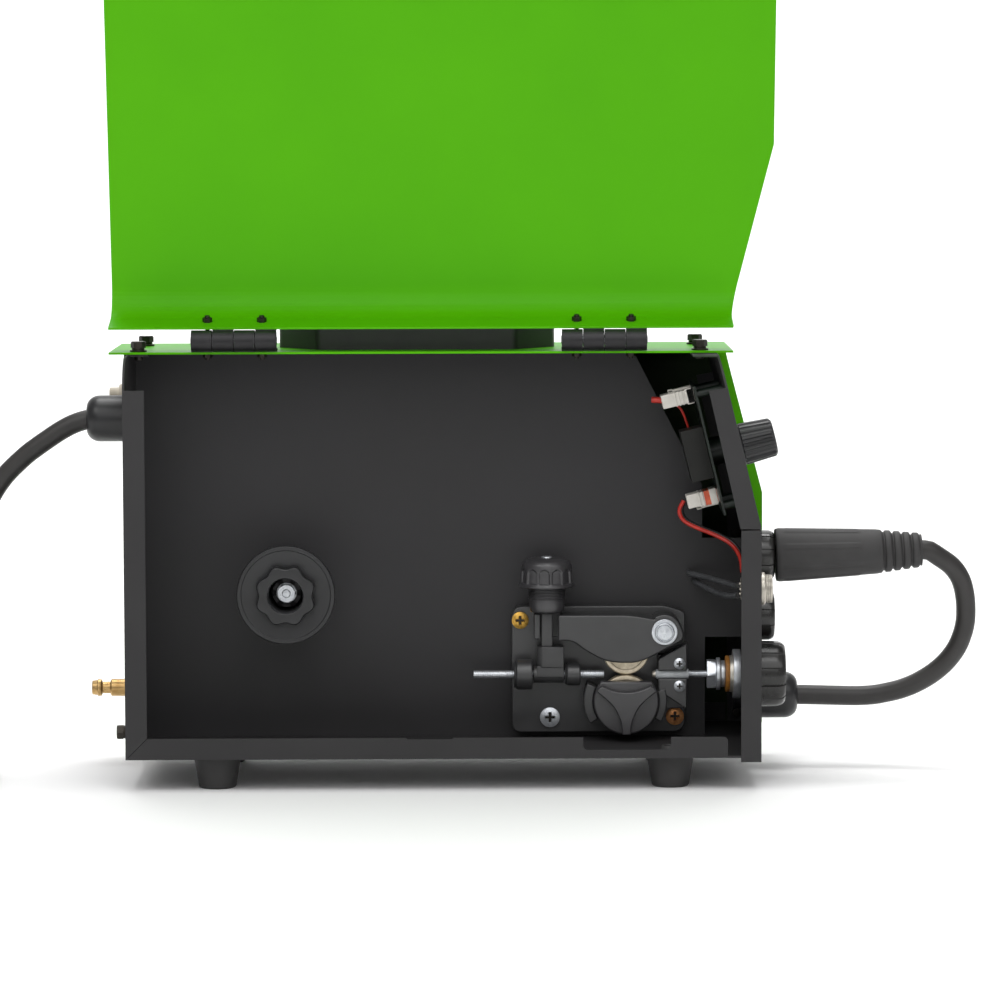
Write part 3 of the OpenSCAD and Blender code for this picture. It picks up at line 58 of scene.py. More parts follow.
def make_camera():
    """A long lens a little over three metres from the open side, above the object and tipped down to it, a
    third of a degree off square and level to a fifth of a degree."""
    lens = bpy.data.cameras.new("camera")
    lens.lens, lens.sensor_width = 161.62, 36.0
    lens.shift_x, lens.shift_y = -0.0042, -0.0444
    lens.clip_start, lens.clip_end = 0.1, 40.0
    camera = bpy.data.objects.new("camera", lens)
    camera.location = (0.0267, -3.170, 0.4759)
    aside, tip, roll = math.radians(-0.295), math.radians(90 - 4.5), math.radians(-0.175)
    camera.rotation_euler = (Matrix.Rotation(aside, 3, "Z") @ Matrix.Rotation(tip, 3, "X")
                             @ Matrix.Rotation(roll, 3, "Z")).to_euler()
    scene.collection.objects.link(camera)
    scene.camera = camera


make_camera()


# ------------------------------------------------------------------ shapes as arrays

def local_axes(axis):
    """Three unit columns for points given as (right, up, along): along is the axis, and up is as near +Z as
    it can be, or +Y for an upright axis."""
    along = np.asarray(axis, float) / np.linalg.norm(axis)
    right = np.cross((0.0, 0.0, 1.0), along)
    if np.linalg.norm(right) < 1e-6:
        right = np.cross((0.0, 1.0, 0.0), along)
    right /= np.linalg.norm(right)
    return np.stack([right, np.cross(along, right), along], axis=1)


def wall_quads(rings, columns, closed=False):
    """Quads between neighbouring rings of points, and between the last and the first if closed."""
    r = np.arange(rings if closed else rings - 1)[:, None]
    c = np.arange(columns)[None, :]
    nr, nc = (r + 1) % rings * columns, (c + 1) % columns
    return np.stack([r * columns + c, r * columns + nc, nr + nc, nr + c], -1).reshape(-1, 4).tolist()


def tube_faces(rings, columns):
    """The same quads, with a flat face over the first ring and over the last."""
    last = (rings - 1) * columns
    return wall_quads(rings, columns) + [list(range(columns))[::-1], list(range(last, last + columns))]


def turned(profile, columns, wave=None, ring=False):
    """A turned solid: the point at profile (z, r) and angle a is (r' cos a, r' sin a, z), where r' is r or
    wave(r, a, z). A profile that closes on itself makes a ring; otherwise both ends close in a flat face."""
    profile = np.asarray(profile, float)
    z, r, a = np.broadcast_arrays(profile[:, :1], profile[:, 1:], np.arange(columns) * TURN / columns)
    if wave:
        r = wave(r, a, z)
    points = np.stack([r * np.cos(a), r * np.sin(a), z], -1).reshape(-1, 3)
    return points, wall_quads(len(profile), columns, True) if ring else tube_faces(len(profile), columns)


def corner_arc(before, p, after, radius, steps):
    """Points on the arc that cuts corner p, from radius before it to radius after it but within 0.49 of each
    side. Between its ends a and b it is the curve (1-t)^2 a + 2t(1-t) p + t^2 b."""
    d0, d1 = before - p, after - p
    l0, l1 = np.linalg.norm(d0), np.linalg.norm(d1)
    cut = min(radius, l0 * 0.49, l1 * 0.49)
    if cut < 1e-6:
        return [p]
    a, b = p + d0 / l0 * cut, p + d1 / l1 * cut
    return [(1 - t) ** 2 * a + 2 * t * (1 - t) * p + t * t * b for t in np.linspace(0, 1, steps + 1)]


def rounded(corners, radius, steps=4):
    """The open line through corners, with each inner corner cut by an arc."""
    corners = [np.asarray(c, float) for c in corners]
    line = [corners[0]]
    for before, p, after in zip(corners, corners[1:], corners[2:]):
        line += corner_arc(before, p, after, radius, steps)
    return np.array(line + [corners[-1]])


def rounded_loop(corners, radius, steps=4):
    """The closed line through corners, with every corner cut by an arc. radius is one for all or a list."""
    corners = [np.asarray(c, float) for c in corners]
    ahead, line = corners[1:] + corners[:1], []
    for k, own in enumerate(np.broadcast_to(radius, len(corners))):
        line += corner_arc(corners[k - 1], corners[k], ahead[k], own, steps)
    return np.array(line)


def rectangle(x0, x1, y0, y1):
    """The corners of a rectangle, in order round it."""
    return [(x0, y0), (x1, y0), (x1, y1), (x0, y1)]


def subdivided(line, step, where, length=np.linalg.norm):
    """A line whose stretches from a to b are divided evenly, by about step, where where(a, b) holds."""
    fine = [line[0]]
    for a, b in zip(line, line[1:]):
        n = max(1, int(length(b - a) / step)) if where(a, b) else 1
        fine += [a + (b - a) * k / n for k in range(1, n + 1)]
    return np.array(fine)


def turned_ring(corners, edge, steps, columns, wave=None):
    """A turned ring whose section has these corners (z, r), rounded by edge."""
    return turned(rounded_loop(corners, edge, steps), columns, wave, ring=True)


def crossing(p, d, q, e):
    """The point where the line through p along d meets the line through q along e, or midway if they miss."""
    across = d[0] * e[1] - d[1] * e[0]
    if abs(across) < 1e-9:
        return (p + q) / 2
    return p + d * ((q[0] - p[0]) * e[1] - (q[1] - p[1]) * e[0]) / across


def shrunk(outline, by):
    """A closed outline moved inwards by a distance along its corners' bisectors. Where a tight corner turns
    its edges back, its points become the one point where the edges on both sides meet."""
    ahead, behind = np.roll(outline, -1, 0) - outline, outline - np.roll(outline, 1, 0)
    unit = lambda v: v / np.maximum(np.linalg.norm(v, axis=1, keepdims=True), 1e-9)
    n0, n1 = unit(behind)[:, ::-1] * (-1, 1), unit(ahead)[:, ::-1] * (-1, 1)
    mid = unit(n0 + n1)
    mitre = 1 / np.maximum((mid * n0).sum(1, keepdims=True), 0.5)
    area = np.sum(outline[:, 0] * np.roll(outline[:, 1], -1) - outline[:, 1] * np.roll(outline[:, 0], -1))
    inner = outline + mid * mitre * by * (1 if area > 0 else -1)
    n = len(inner)
    back = ((np.roll(inner, -1, 0) - inner) * ahead).sum(1) < 0
    for k in np.nonzero(back & ~np.roll(back, 1))[0]:
        end = k
        while back[end % n]:
            end += 1
        run = np.arange(k, end + 1) % n
        inner[run] = crossing(inner[k - 1], ahead[k - 1], inner[(end + 1) % n], ahead[end % n])
    return inner


def slab(outline, thick, edge, steps=3, both=True):
    """A plate: the outline carried along the thickness. At edge (1 - cos a) from each face, or from the far
    one only, it is drawn in by edge (1 - sin a), which rounds the plate's edges."""
    outline = np.asarray(outline, float)
    rim = [(edge * (1 - math.cos(a)), edge * (1 - math.sin(a))) for a in np.linspace(0, math.pi / 2, steps + 1)]
    low, high = rim if both else [(0, 0)], [(thick - z, cut) for z, cut in reversed(rim)]
    rings = [np.column_stack([shrunk(outline, cut), np.full(len(outline), z)]) for z, cut in low + high]
    return np.concatenate(rings), tube_faces(len(rings), len(outline))


def directions(path):
    """Unit directions along a path, from the points on both sides of each one."""
    d = np.gradient(np.asarray(path, float), axis=0)
    return d / np.linalg.norm(d, axis=1, keepdims=True)


def smooth_path(points, step):
    """A path through points, evenly spaced: a Catmull-Rom curve, whose tangent at each point is half the
    step from the point before to the point after."""
    p = np.asarray(points, float)
    p = np.concatenate([[2 * p[0] - p[1]], p, [2 * p[-1] - p[-2]]])
    t = np.linspace(0, 1, 17)[:-1, None]
    spans = [0.5 * (2 * b + (c - a) * t + (2 * a - 5 * b + 4 * c - d) * t ** 2 + (3 * b - a - 3 * c + d) * t ** 3)
             for a, b, c, d in zip(p, p[1:], p[2:], p[3:])]
    line = np.concatenate(spans + [p[-2:-1]])
    gone = np.concatenate([[0], np.cumsum(np.linalg.norm(np.diff(line, axis=0), axis=1))])
    even = np.linspace(0, gone[-1], max(2, int(gone[-1] / step) + 1))
    return np.stack([np.interp(even, gone, line[:, k]) for k in range(3)], 1)


def joined(*parts):
    """Several (points, faces) as one."""
    points, faces, start = [], [], 0
    for p, f in parts:
        points.append(p)
        faces += [[i + start for i in face] for face in f]
        start += len(p)
    return np.concatenate(points), faces


def moved(part, origin, axis):
    """(points, faces) turned so that their third coordinate runs along axis, and moved to origin."""
    return part[0] @ local_axes(axis).T + np.asarray(origin, float), part[1]


def raised(part, height):
    """(points, faces) moved by a height along their third coordinate."""
    return part[0] + (0, 0, height), part[1]


def copies(part, places, axis):
    """One (points, faces) set at several places."""
    return joined(*(moved(part, place, axis) for place in places))


def circle(radius, count, start=0.0):
    """Places spaced evenly on a circle round the third axis."""
    return [(radius * math.cos(a), radius * math.sin(a), 0) for a in np.arange(count) * TURN / count + start]


# ------------------------------------------------------------------ materials

def linear(hex_code):
    """An sRGB hex value as linear red, green, blue and full alpha."""
    parts = [int(hex_code[k:k + 2], 16) / 255 for k in (1, 3, 5)]
    return (*[c / 12.92 if c <= 0.04045 else ((c + 0.055) / 1.055) ** 2.4 for c in parts], 1.0)


def add(tree, kind, inputs=(), **settings):
    """Adds a node, sets its fields, and gives each named input a value or another node's output."""
    made = tree.nodes.new(kind)
    for name, value in settings.items():
        setattr(made, name, value)
    for name, value in dict(inputs).items():
        if isinstance(value, bpy.types.NodeSocket):
            tree.links.new(value, made.inputs[name])
        else:
            made.inputs[name].default_value = value
    return made


def ramp(tree, factor, stops):
    """A colour ramp whose stops are (place, hex or grey value)."""
    made = add(tree, "ShaderNodeValToRGB", {"Fac": factor})
    for k, (place, colour) in enumerate(stops):
        at = made.color_ramp.elements[k] if k < 2 else made.color_ramp.elements.new(place)
        at.position = place
        at.color = linear(colour) if isinstance(colour, str) else (colour, colour, colour, 1)
    return made.outputs["Color"]


def noise(tree, place, size, detail, rough=0.5):
    """Noise in cells size millimetres wide, for Object coordinates in metres."""
    return add(tree, "ShaderNodeTexNoise", {"Vector": place, "Scale": 1 / (size * MM), "Detail": detail,
                                            "Roughness": rough}).outputs["Fac"]


def surface(name, dark, light, patch, grain, height, rough, rough_spread=0.08, marks=None, turned_about=None,
            spec=0.5, metal=0.0, **shader):
    """One finish. Its colour wanders between dark and light over patches of patch mm. A grain of grain mm
    raises it by height mm. Its roughness wanders by rough_spread. marks = (hex, size mm, share) adds small
    worn specks, and turned_about is the axis letter about which its grain is drawn out into fine tool lines."""
    made = bpy.data.materials.new(name)
    made.use_nodes = True
    tree = made.node_tree
    tree.nodes.clear()
    place = add(tree, "ShaderNodeTexCoord").outputs["Object"]
    wander = noise(tree, place, patch, 3.0)
    colour = ramp(tree, wander, [(0.3, dark), (0.7, light)])
    grained = place
    if turned_about:
        squash = [1 if letter == turned_about else 0.02 for letter in "XYZ"]
        grained = add(tree, "ShaderNodeMapping", {"Vector": place, "Scale": squash}).outputs["Vector"]
    roughness = add(tree, "ShaderNodeMapRange", {"Value": wander, "To Min": rough - rough_spread,
                                                 "To Max": rough + rough_spread}).outputs["Result"]
    if marks:
        worn, size, share = marks
        where = ramp(tree, noise(tree, place, size, 4.0, 0.65), [(1 - share, 0.0), (1 - share + 0.03, 1.0)])
        colour = add(tree, "ShaderNodeMixRGB", {"Fac": where, "Color1": colour,
                                                "Color2": linear(worn)}).outputs["Color"]
    bump = add(tree, "ShaderNodeBump", {"Height": noise(tree, grained, grain, 2.0), "Strength": 1.0,
                                        "Distance": height * MM})
    bsdf = add(tree, "ShaderNodeBsdfPrincipled", {
        "Base Color": colour, "Roughness": roughness, "Normal": bump.outputs["Normal"],
        "Specular IOR Level": spec, "Metallic": metal, **shader})
    add(tree, "ShaderNodeOutputMaterial", {"Surface": bsdf.outputs["BSDF"]})
    return made


# Polyester powder coat, sprayed and baked: an even, clean green with faint orange peel and a soft sheen.
green_powder_coat = surface("green_powder_coat", "#4ba300", "#50aa00", 140, 1.4, 0.01, 0.42, 0.03, spec=0.12)
# Polyester powder coat in charcoal, fine textured: matt, faintly speckled, with chips that show bare zinc.
charcoal_powder_coat = surface("charcoal_powder_coat", "#262526", "#2c2b2c", 60, 0.9, 0.05, 0.58, 0.06,
                               marks=("#7d7b7a", 3.2, 0.24), spec=0.4)
# The same coat inside the bay, where nothing has rubbed it.
charcoal_inner_coat = surface("charcoal_inner_coat", "#262526", "#2b2a2c", 160, 0.9, 0.04, 0.52, 0.05, spec=0.35)
# Black zinc on steel hinges: satin, nearly black, a little uneven.
black_zinc_steel = surface("black_zinc_steel", "#1e1d1f", "#272628", 12, 0.6, 0.02, 0.42, 0.08, metal=0.4)
# Black oxide on bolts: dark, oily, bronze-grey where it glints.
black_oxide_steel = surface("black_oxide_steel", "#2a2723", "#3a352e", 4, 0.5, 0.01, 0.36, 0.08, metal=0.6)
# Glass-filled nylon, moulded against a spark-eroded tool: deep grey-black with a fine dull grain.
glass_filled_nylon = surface("glass_filled_nylon", "#232324", "#2a2a2b", 18, 0.55, 0.03, 0.5, 0.07, spec=0.45)
# The feeder's nylon, filled more heavily, so it is a shade greyer and duller.
feeder_nylon = surface("feeder_nylon", "#2c2c2d", "#343435", 18, 0.6, 0.02, 0.38, 0.06, spec=0.7)
# The same nylon where fingers turn it, so its grain is polished down.
handled_nylon = surface("handled_nylon", "#323133", "#3b3a3c", 14, 0.7, 0.015, 0.34, 0.05, spec=0.7)
# The hub's nylon: plain black with a satin skin.
satin_nylon = surface("satin_nylon", "#1b1b1c", "#212123", 14, 0.9, 0.012, 0.36, 0.05)
# ABS moulded against a polished tool: black, with crisp reflections.
glossy_abs = surface("glossy_abs", "#1c1b1a", "#22211f", 20, 1.2, 0.004, 0.28, 0.04,
                     **{"Coat Weight": 0.15, "Coat Roughness": 0.15})
# ABS with a leather grain, for the carrying handle: soft wide highlights.
grained_abs = surface("grained_abs", "#2e2e2d", "#383836", 30, 0.9, 0.05, 0.42, 0.05)
# Vulcanised rubber: dull black that greys where it is handled.
moulded_rubber = surface("moulded_rubber", "#2d2c2c", "#363535", 16, 0.8, 0.03, 0.6, 0.08, spec=0.45)
# Extruded cable sheath: smooth, slightly waxy black.
extruded_sheath = surface("extruded_sheath", "#262423", "#2f2d2c", 22, 1.0, 0.012, 0.46, 0.06)
# Bright zinc plate on screws and rods: cool silver with a faint blue.
bright_zinc = surface("bright_zinc", "#c6cad0", "#dcdfe3", 3, 0.5, 0.008, 0.36, 0.06, metal=0.8)
# Yellow chromate over zinc: straw to brass.
yellow_chromate = surface("yellow_chromate", "#c2923a", "#e2b65c", 2, 0.5, 0.008, 0.38, 0.08, metal=0.75)
# Old yellow chromate that has gone the colour of copper.
copper_chromate = surface("copper_chromate", "#c8824c", "#e8aa74", 2, 0.5, 0.008, 0.38, 0.08, metal=0.75)
# Ground steel rollers: warm, pale, with fine lines round the rim.
ground_steel = surface("ground_steel", "#b8ab94", "#d6cab4", 3, 0.25, 0.008, 0.38, 0.08, turned_about="Y",
                       metal=0.75)
# Nickel plate: warm, pale and soft.
nickel_plate = surface("nickel_plate", "#b6b0a5", "#d0cabf", 4, 0.4, 0.008, 0.36, 0.06, metal=0.75)
# Turned brass, clear and slightly tarnished, with tool lines round it.
turned_brass = surface("turned_brass", "#b8925a", "#d4b27a", 5, 0.2, 0.012, 0.34, 0.07, turned_about="X",
                       metal=0.8)
# Phenolic insulating ring: brown, dull.
phenolic_ring = surface("phenolic_ring", "#8a5a26", "#a8722f", 2, 0.4, 0.02, 0.5, 0.08)
# Urea moulding of the breaker: warm beige.
beige_urea = surface("beige_urea", "#d9cdba", "#e6dccb", 10, 0.8, 0.01, 0.4, 0.05)
# Natural nylon of the plug-in connectors: off-white and slightly cloudy.
natural_nylon = surface("natural_nylon", "#cfcac2", "#ddd9d1", 5, 0.5, 0.01, 0.42, 0.06,
                        **{"Subsurface Weight": 0.1, "Subsurface Radius": (0.001, 0.001, 0.001)})
# Orange lacquer that seals one connector, brushed on unevenly.
orange_lacquer = surface("orange_lacquer", "#c9411d", "#e4693b", 2.5, 0.8, 0.05, 0.35, 0.08)
red_pvc = surface("red_pvc_insulation", "#a81f16", "#c43226", 6, 0.7, 0.008, 0.36, 0.05)
black_pvc = surface("black_pvc_insulation", "#191818", "#242222", 6, 0.7, 0.008, 0.38, 0.05)
# Heat-shrink sleeve: matt grey-black, a little wrinkled.
heat_shrink = surface("heat_shrink_sleeve", "#37383a", "#4b4c4e", 3, 1.5, 0.08, 0.45, 0.08)
# Solder mask over glass-epoxy board: very dark green.
solder_mask = surface("solder_mask_board", "#131c16", "#1a261d", 8, 1.0, 0.02, 0.35, 0.08)
# Moulded relay and display housings: flat brown-black.
relay_moulding = surface("relay_moulding", "#131311", "#191916", 8, 0.8, 0.02, 0.5, 0.06, spec=0.3)
# The outlet liner: pale, slightly see-through nylon tube.
pale_liner = surface("pale_liner", "#a9adb0", "#bfc3c6", 6, 0.6, 0.008, 0.34, 0.05)
# Painted shade for the inside of the cover: a near-black green that stands in for the shade falling on the green
# coat there.
cover_inside_painted_shade = surface("cover_inside_painted_shade", "#1d2c13", "#25371a", 60, 1.4, 0.02, 0.6, 0.05, spec=0.2)
# Drawn steel pins and springs.
drawn_steel = surface("drawn_steel", "#7d7f82", "#9a9c9f", 4, 0.3, 0.01, 0.3, 0.07, metal=1.0)

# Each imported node's finish, where the node itself or its softened copy shows.
FINISH = {node: finish for finish, nodes in (
    (charcoal_powder_coat, "base_tray rear_panel front_panel_lower control_panel"),
    (charcoal_inner_coat, "partition_wall feed_motor"),
    (green_powder_coat, "fixed_cover side_door"),
    (black_zinc_steel, "hinge_fixed_leaves hinge_door_leaves"),
    (black_oxide_steel, "hinge_body_screws hinge_door_screws case_bolts"),
    (drawn_steel, "hinge_pins drive_shaft roller_axle tension_spring brake_spring"),
    (glass_filled_nylon, "latch_housing hub_base spool_hub fan_frame fan_rotor"),
    (satin_nylon, "latch_slider spool_cap control_knob cable_glands"),
    (grained_abs, "top_handle"),
    (moulded_rubber, "rubber_feet cord_tie power_plug jumper_plug"),
    (feeder_nylon, "feeder_plate pressure_arm tension_rod wire_guides"),
    (handled_nylon, "roller_cap tension_knob"),
    (bright_zinc, "feeder_screws arm_pivot_pin inlet_tube torch_nuts hub_bolt"),
    (ground_steel, "drive_roller pressure_roller"),
    (pale_liner, "outlet_tube"),
    (nickel_plate, "torch_connector remote_socket"),
    (glossy_abs, "torch_shroud cable_sockets"),
    (solder_mask, "control_board inverter_unit"),
    (natural_nylon, "board_connectors"),
    (red_pvc, "panel_wires"),
    (turned_brass, "gas_nipple"),
    (beige_urea, "reset_breaker reset_button"),
    (extruded_sheath, "power_cord power_cord_coil jumper_cable"),
) for node in nodes.split()}


# ------------------------------------------------------------------ pieces

SLOT = {s["node"]: s["material_slot"] for s in frame["record"]["subparts"]}
BODY = {n: b for b, ns in frame["record"]["behaviour"]["bodies"].items() for n in ns}
FOLD = math.radians(35)


def piece(name, part, material, *stands_for, slot=None, body="chassis"):
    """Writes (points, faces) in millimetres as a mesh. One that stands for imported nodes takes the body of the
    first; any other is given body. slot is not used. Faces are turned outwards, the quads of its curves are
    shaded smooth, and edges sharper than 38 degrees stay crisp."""
    points, faces = part
    mesh = bpy.data.meshes.new(name)
    mesh.from_pydata((np.asarray(points) * MM).tolist(), [], faces)
    work = bmesh.new()
    work.from_mesh(mesh)
    bmesh.ops.remove_doubles(work, verts=work.verts, dist=0.002 * MM)
    bmesh.ops.recalc_face_normals(work, faces=work.faces)
    work.to_mesh(mesh)
    work.free()
    mesh.set_sharp_from_angle(angle=math.radians(38))
    mesh.polygons.foreach_set("use_smooth", [len(face.vertices) < 5 for face in mesh.polygons])
    mesh.materials.append(material)
    made = bpy.data.objects.new(name, mesh)
    scene.collection.objects.link(made)
    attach(made, BODY[stands_for[0]] if stands_for else body)
    if stands_for:
        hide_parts(*stands_for)
    return made


def shade_folds(mesh):
    """Shades every face smooth and keeps edges sharper than FOLD crisp."""
    mesh.polygons.foreach_set("use_smooth", np.ones(len(mesh.polygons), bool))
    mesh.set_sharp_from_angle(angle=FOLD)


def softened(node, edge):
    """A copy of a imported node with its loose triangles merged, its flat faces joined and its edges rounded
    by edge millimetres, as folded sheet and moulded plastic have them."""
    mesh = frame["nodes"][node].data.copy()
    work = bmesh.new()
    work.from_mesh(mesh)
    bmesh.ops.remove_doubles(work, verts=work.verts, dist=0.004 * MM)
    bmesh.ops.dissolve_limit(work, angle_limit=math.radians(0.6), verts=work.verts, edges=work.edges)
    work.to_mesh(mesh)
    work.free()
    mesh.materials.clear()
    mesh.materials.append(FINISH[node])
    shade_folds(mesh)
    made = bpy.data.objects.new(node + "_formed", mesh)
    scene.collection.objects.link(made)
    bevel = made.modifiers.new("edges", "BEVEL")
    bevel.width, bevel.segments = edge * MM, 2
    bevel.limit_method, bevel.angle_limit = "ANGLE", FOLD
    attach(made, BODY[node])
    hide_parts(node)


# ------------------------------------------------------------------ the object's main places, in millimetres

AXIS = 0.01     # profiles end this far from their axis, so that their end faces close
TOP = 303.0
PART_Y = 14.0
WIRE_Y, WIRE_Z = -12.0, 71.9
ROLLER_X, DRIVE_Z, PRESS_Z = 128.6, WIRE_Z - 18.7, WIRE_Z + 16.7
ROLLER_Y = -7.0
ROD_X = 72.8
ARM_TOP, FORK_LOW = WIRE_Z + 43.2, WIRE_Z + 25.1
PIVOT = (155.6, WIRE_Z + 31.2)
CLAMP_X = (151.4, 171.9)
CLAMP_SCREWS = [(CLAMP_X[1] - 5.5, -18.0, WIRE_Z + s * 8) for s in (-1, 1)]
PLATE_LOW, PLATE_HIGH, PLATE_Y = (48.0, 28.6), (171.3, 118.8), 2.0
HUB_X, HUB_Z = -110.3, 132.8
HUB_FACE = (HUB_X, -28.0, HUB_Z)
TORCH_X = 171.9
SOCKET_Y, PLUS_Z, MINUS_Z = 10.0, 154.0, 111.0
FRONT_X, REAR_X = 220.0, -220.0
GLAND_Y, REAR_GLAND_Z, FRONT_GLAND_Z = 40.0, 251.0, 50.0
NEAR, AWAY, FRONT, REAR, UP = (0, -1, 0), (0, 1, 0), (1, 0, 0), (-1, 0, 0), (0, 0, 1)
SLOPE = math.radians(13.5)
PANEL_OUT = (math.cos(SLOPE), 0, math.sin(SLOPE))
KNEE_Z, KNOB_Z = 182.0, 233.0
BOARD_Y, BOARD_BACK = -18.0, -21.6


def face_x(z):
    """Where the front face is at height z: upright up to the knee, then sloping back."""
    return FRONT_X - max(0.0, z - KNEE_Z) * math.tan(SLOPE)


def on_wire(part, x):
    """(points, faces) whose axis lies along the wire and whose zero is at x."""
    return moved(part, (x, WIRE_Y, WIRE_Z), FRONT)


# ------------------------------------------------------------------ cords

CORD_R, JUMPER_R = 7.0, 7.0
COIL_X, COIL_INNER, TURN_STEP, LAYER_TURNS, LIE = -420.0, 66.0, 14.8, 2, 8.0
COIL_Y = 40.0 - COIL_INNER - LAYER_TURNS * TURN_STEP
TAIL = np.array([-484.0, 84.0, 19.5])
TAIL_DIR = np.array([-5.0, 13.0, 0.0]) / math.hypot(5, 13)


def power_cord_route():
    """From the gland down to the floor, then a flat spiral in, up one layer and a flat spiral out: at turn t
    the middle of the cord is at radius inner + |t - 2| step and angle 90 + 360 t degrees, and it climbs one
    step by the curve 3s^2 - 2s^3 over half a turn round t = 2."""
    down = [(-242, 251), (-251.5, 250.8), (-258, 249.6), (-266, 246.8), (-274, 242.6), (-282, 237.4),
            (-291.5, 230.8), (-300.7, 223.7), (-315.2, 209.4), (-326.2, 192.3), (-333, 173), (-335.3, 152.8),
            (-335.3, 124), (-335.3, 96), (-335.3, 68), (-338.2, 49.5), (-346.8, 32.7), (-360, 19.5),
            (-376.8, 10.9), (-395.3, LIE), (-406, LIE)]
    t = np.arange(0, 2 * LAYER_TURNS * 24 + 1) / 24
    s = np.clip((t - LAYER_TURNS + 0.25) / 0.5, 0, 1)
    r, a = COIL_INNER + np.abs(t - LAYER_TURNS) * TURN_STEP, math.pi / 2 + TURN * t
    coil = np.stack([COIL_X + r * np.cos(a), COIL_Y + r * np.sin(a), LIE + s * s * (3 - 2 * s) * TURN_STEP], 1)
    tail = [(-434, 40, LIE + TURN_STEP), (-448, 43, 22), (-461, 50, 21), (-472, 60, 20), (-479, 71, 19.5), TAIL]
    return smooth_path(np.concatenate([[(x, GLAND_Y, z) for x, z in down], coil, tail]), 4.0)


def sheath_rings(path, radius, columns=32):
    """A cord's mesh tube: ring k is path[k] + r (cos a u + sin a v). u is carried from ring to ring without
    twist, and both ends close."""
    t = directions(path)
    u = np.zeros_like(t)
    first = np.cross(t[0], (0.0, 1.0, 0.0))
    u[0] = first / np.linalg.norm(first)
    for k in range(1, len(t)):
        across = u[k - 1] - t[k] * np.dot(u[k - 1], t[k])
        u[k] = across / np.linalg.norm(across)
    v = np.cross(t, u)
    a = np.arange(columns) * TURN / columns
    points = path[:, None] + radius * (np.cos(a)[:, None] * u[:, None] + np.sin(a)[:, None] * v[:, None])
    return points.reshape(-1, 3), tube_faces(len(path), columns)


cord_path = power_cord_route()
power_cord = piece("power_cord_sheath", sheath_rings(cord_path, CORD_R), extruded_sheath,
                   "power_cord", "power_cord_coil")


def power_plug():
    """A round rubber plug: a boot with three rings, and a flared body with two shallow hollows and a flat face
    for its two pins."""
    hollow = lambda r, a, z: r * (1 - 0.035 * np.clip(np.cos(2 * a) * 6 - 4.6, 0, 1) * (z > 20))
    body = turned(rounded([(0, 7.2), (0, 10.6), (16, 12.4), (26, 18.4), (38, 18.9), (38, AXIS)], 2.2), 96, hollow)
    rings = [turned(rounded([(z - 1.2, r), (z - 1, r + 1.1), (z + 1, r + 1.1), (z + 1.2, r)], 0.7), 48)
             for z, r in ((3, 10.3), (7, 10.9), (11, 11.4))]
    pin = turned(rounded([(36, AXIS), (36, 2.4), (57, 2.4), (57, AXIS)], 1.2), 24)
    return joined(body, *rings), copies(pin, [(0, -9.5, 0), (0, 9.5, 0)], UP)


plug_body, plug_pins = (moved(p, TAIL, TAIL_DIR) for p in power_plug())
plug = piece("power_plug_body", plug_body, moulded_rubber, "power_plug")
plug_pin = piece("power_plug_pins", plug_pins, nickel_plate, slot="spring_steel")

PLUG_TILT = math.radians(1.8)
PLUG_BACK, SLEEVE = 235.6, 104.5
PLUG_DIR = np.array([math.cos(PLUG_TILT), 0, math.sin(PLUG_TILT)])
PLUG_START = np.array([PLUG_BACK, SOCKET_Y, PLUS_Z])
PLUG_END = PLUG_START + SLEEVE * PLUG_DIR
jumper_path = smooth_path([
    (240, 40, 49.9), (255, 40, 49.9), (269, 40, 49.6), (282, 39.5, 49.3), (297, 38, 49.2), (308, 36.5, 50),
    (316, 35.2, 51.5), (326, 33, 54.1), (335, 31, 57.6), (343.5, 29.2, 62.2), (352, 27.6, 68.1),
    (360.4, 26.2, 76.1), (367.8, 24.8, 87.1), (372.5, 23.6, 101.5), (373.1, 22.4, 115.4), (371.4, 20.2, 127.7),
    (367.9, 17.6, 137.3), (361.8, 14.6, 145.4), (353.6, 12, 151.5), PLUG_END + (5.5, 0.4, -0.5),
    PLUG_END + 2 * PLUG_DIR, PLUG_END - 2 * PLUG_DIR], 4.0)
jumper = piece("jumper_cable_sheath", sheath_rings(jumper_path, JUMPER_R), extruded_sheath, "jumper_cable")


def jumper_sleeve():
    """The long rubber sleeve of the cable plug: r falls slowly from 19.1 to 15.4 under eight faint ridges that
    run along it, then come four rings on a neck."""
    neck = [(76, 14.8)]
    for k in range(4):
        z, r = 79 + k * 6.6, 15.0 - k * 0.75
        neck += [(z - 1.6, r - 1.7), (z - 0.6, r), (z + 3.2, r - 0.2), (z + 4.2, r - 2.0)]
    profile = rounded([(0.2, AXIS), (0.2, 18.6), (3, 19.1), (72, 15.9), (75.5, 15.4)] + neck
                      + [(SLEEVE, 11.6), (SLEEVE, AXIS)], 0.9, 3)
    fine = subdivided(profile, 1.5, lambda a, b: True, lambda d: abs(d[0]))
    ridge = lambda r, a, z: r + 0.55 * (np.abs(((a * 8 / TURN) % 1) - 0.5) < 0.13) * np.clip(
        (z - 5) / 3, 0, 1) * np.clip((62 - z) / 3, 0, 1)
    return turned(fine, 144, ridge)


sleeve = piece("jumper_plug_sleeve", moved(jumper_sleeve(), PLUG_START, PLUG_DIR), moulded_rubber, "jumper_plug")
jumper_pin = turned(rounded([(-14, AXIS), (-14, 3.6), (-0.5, 3.6), (-0.5, AXIS)], 0.6), 40)
jumper_pin = piece("jumper_plug_pin", moved(jumper_pin, PLUG_START, PLUG_DIR), turned_brass,
                   slot="connector_brass")


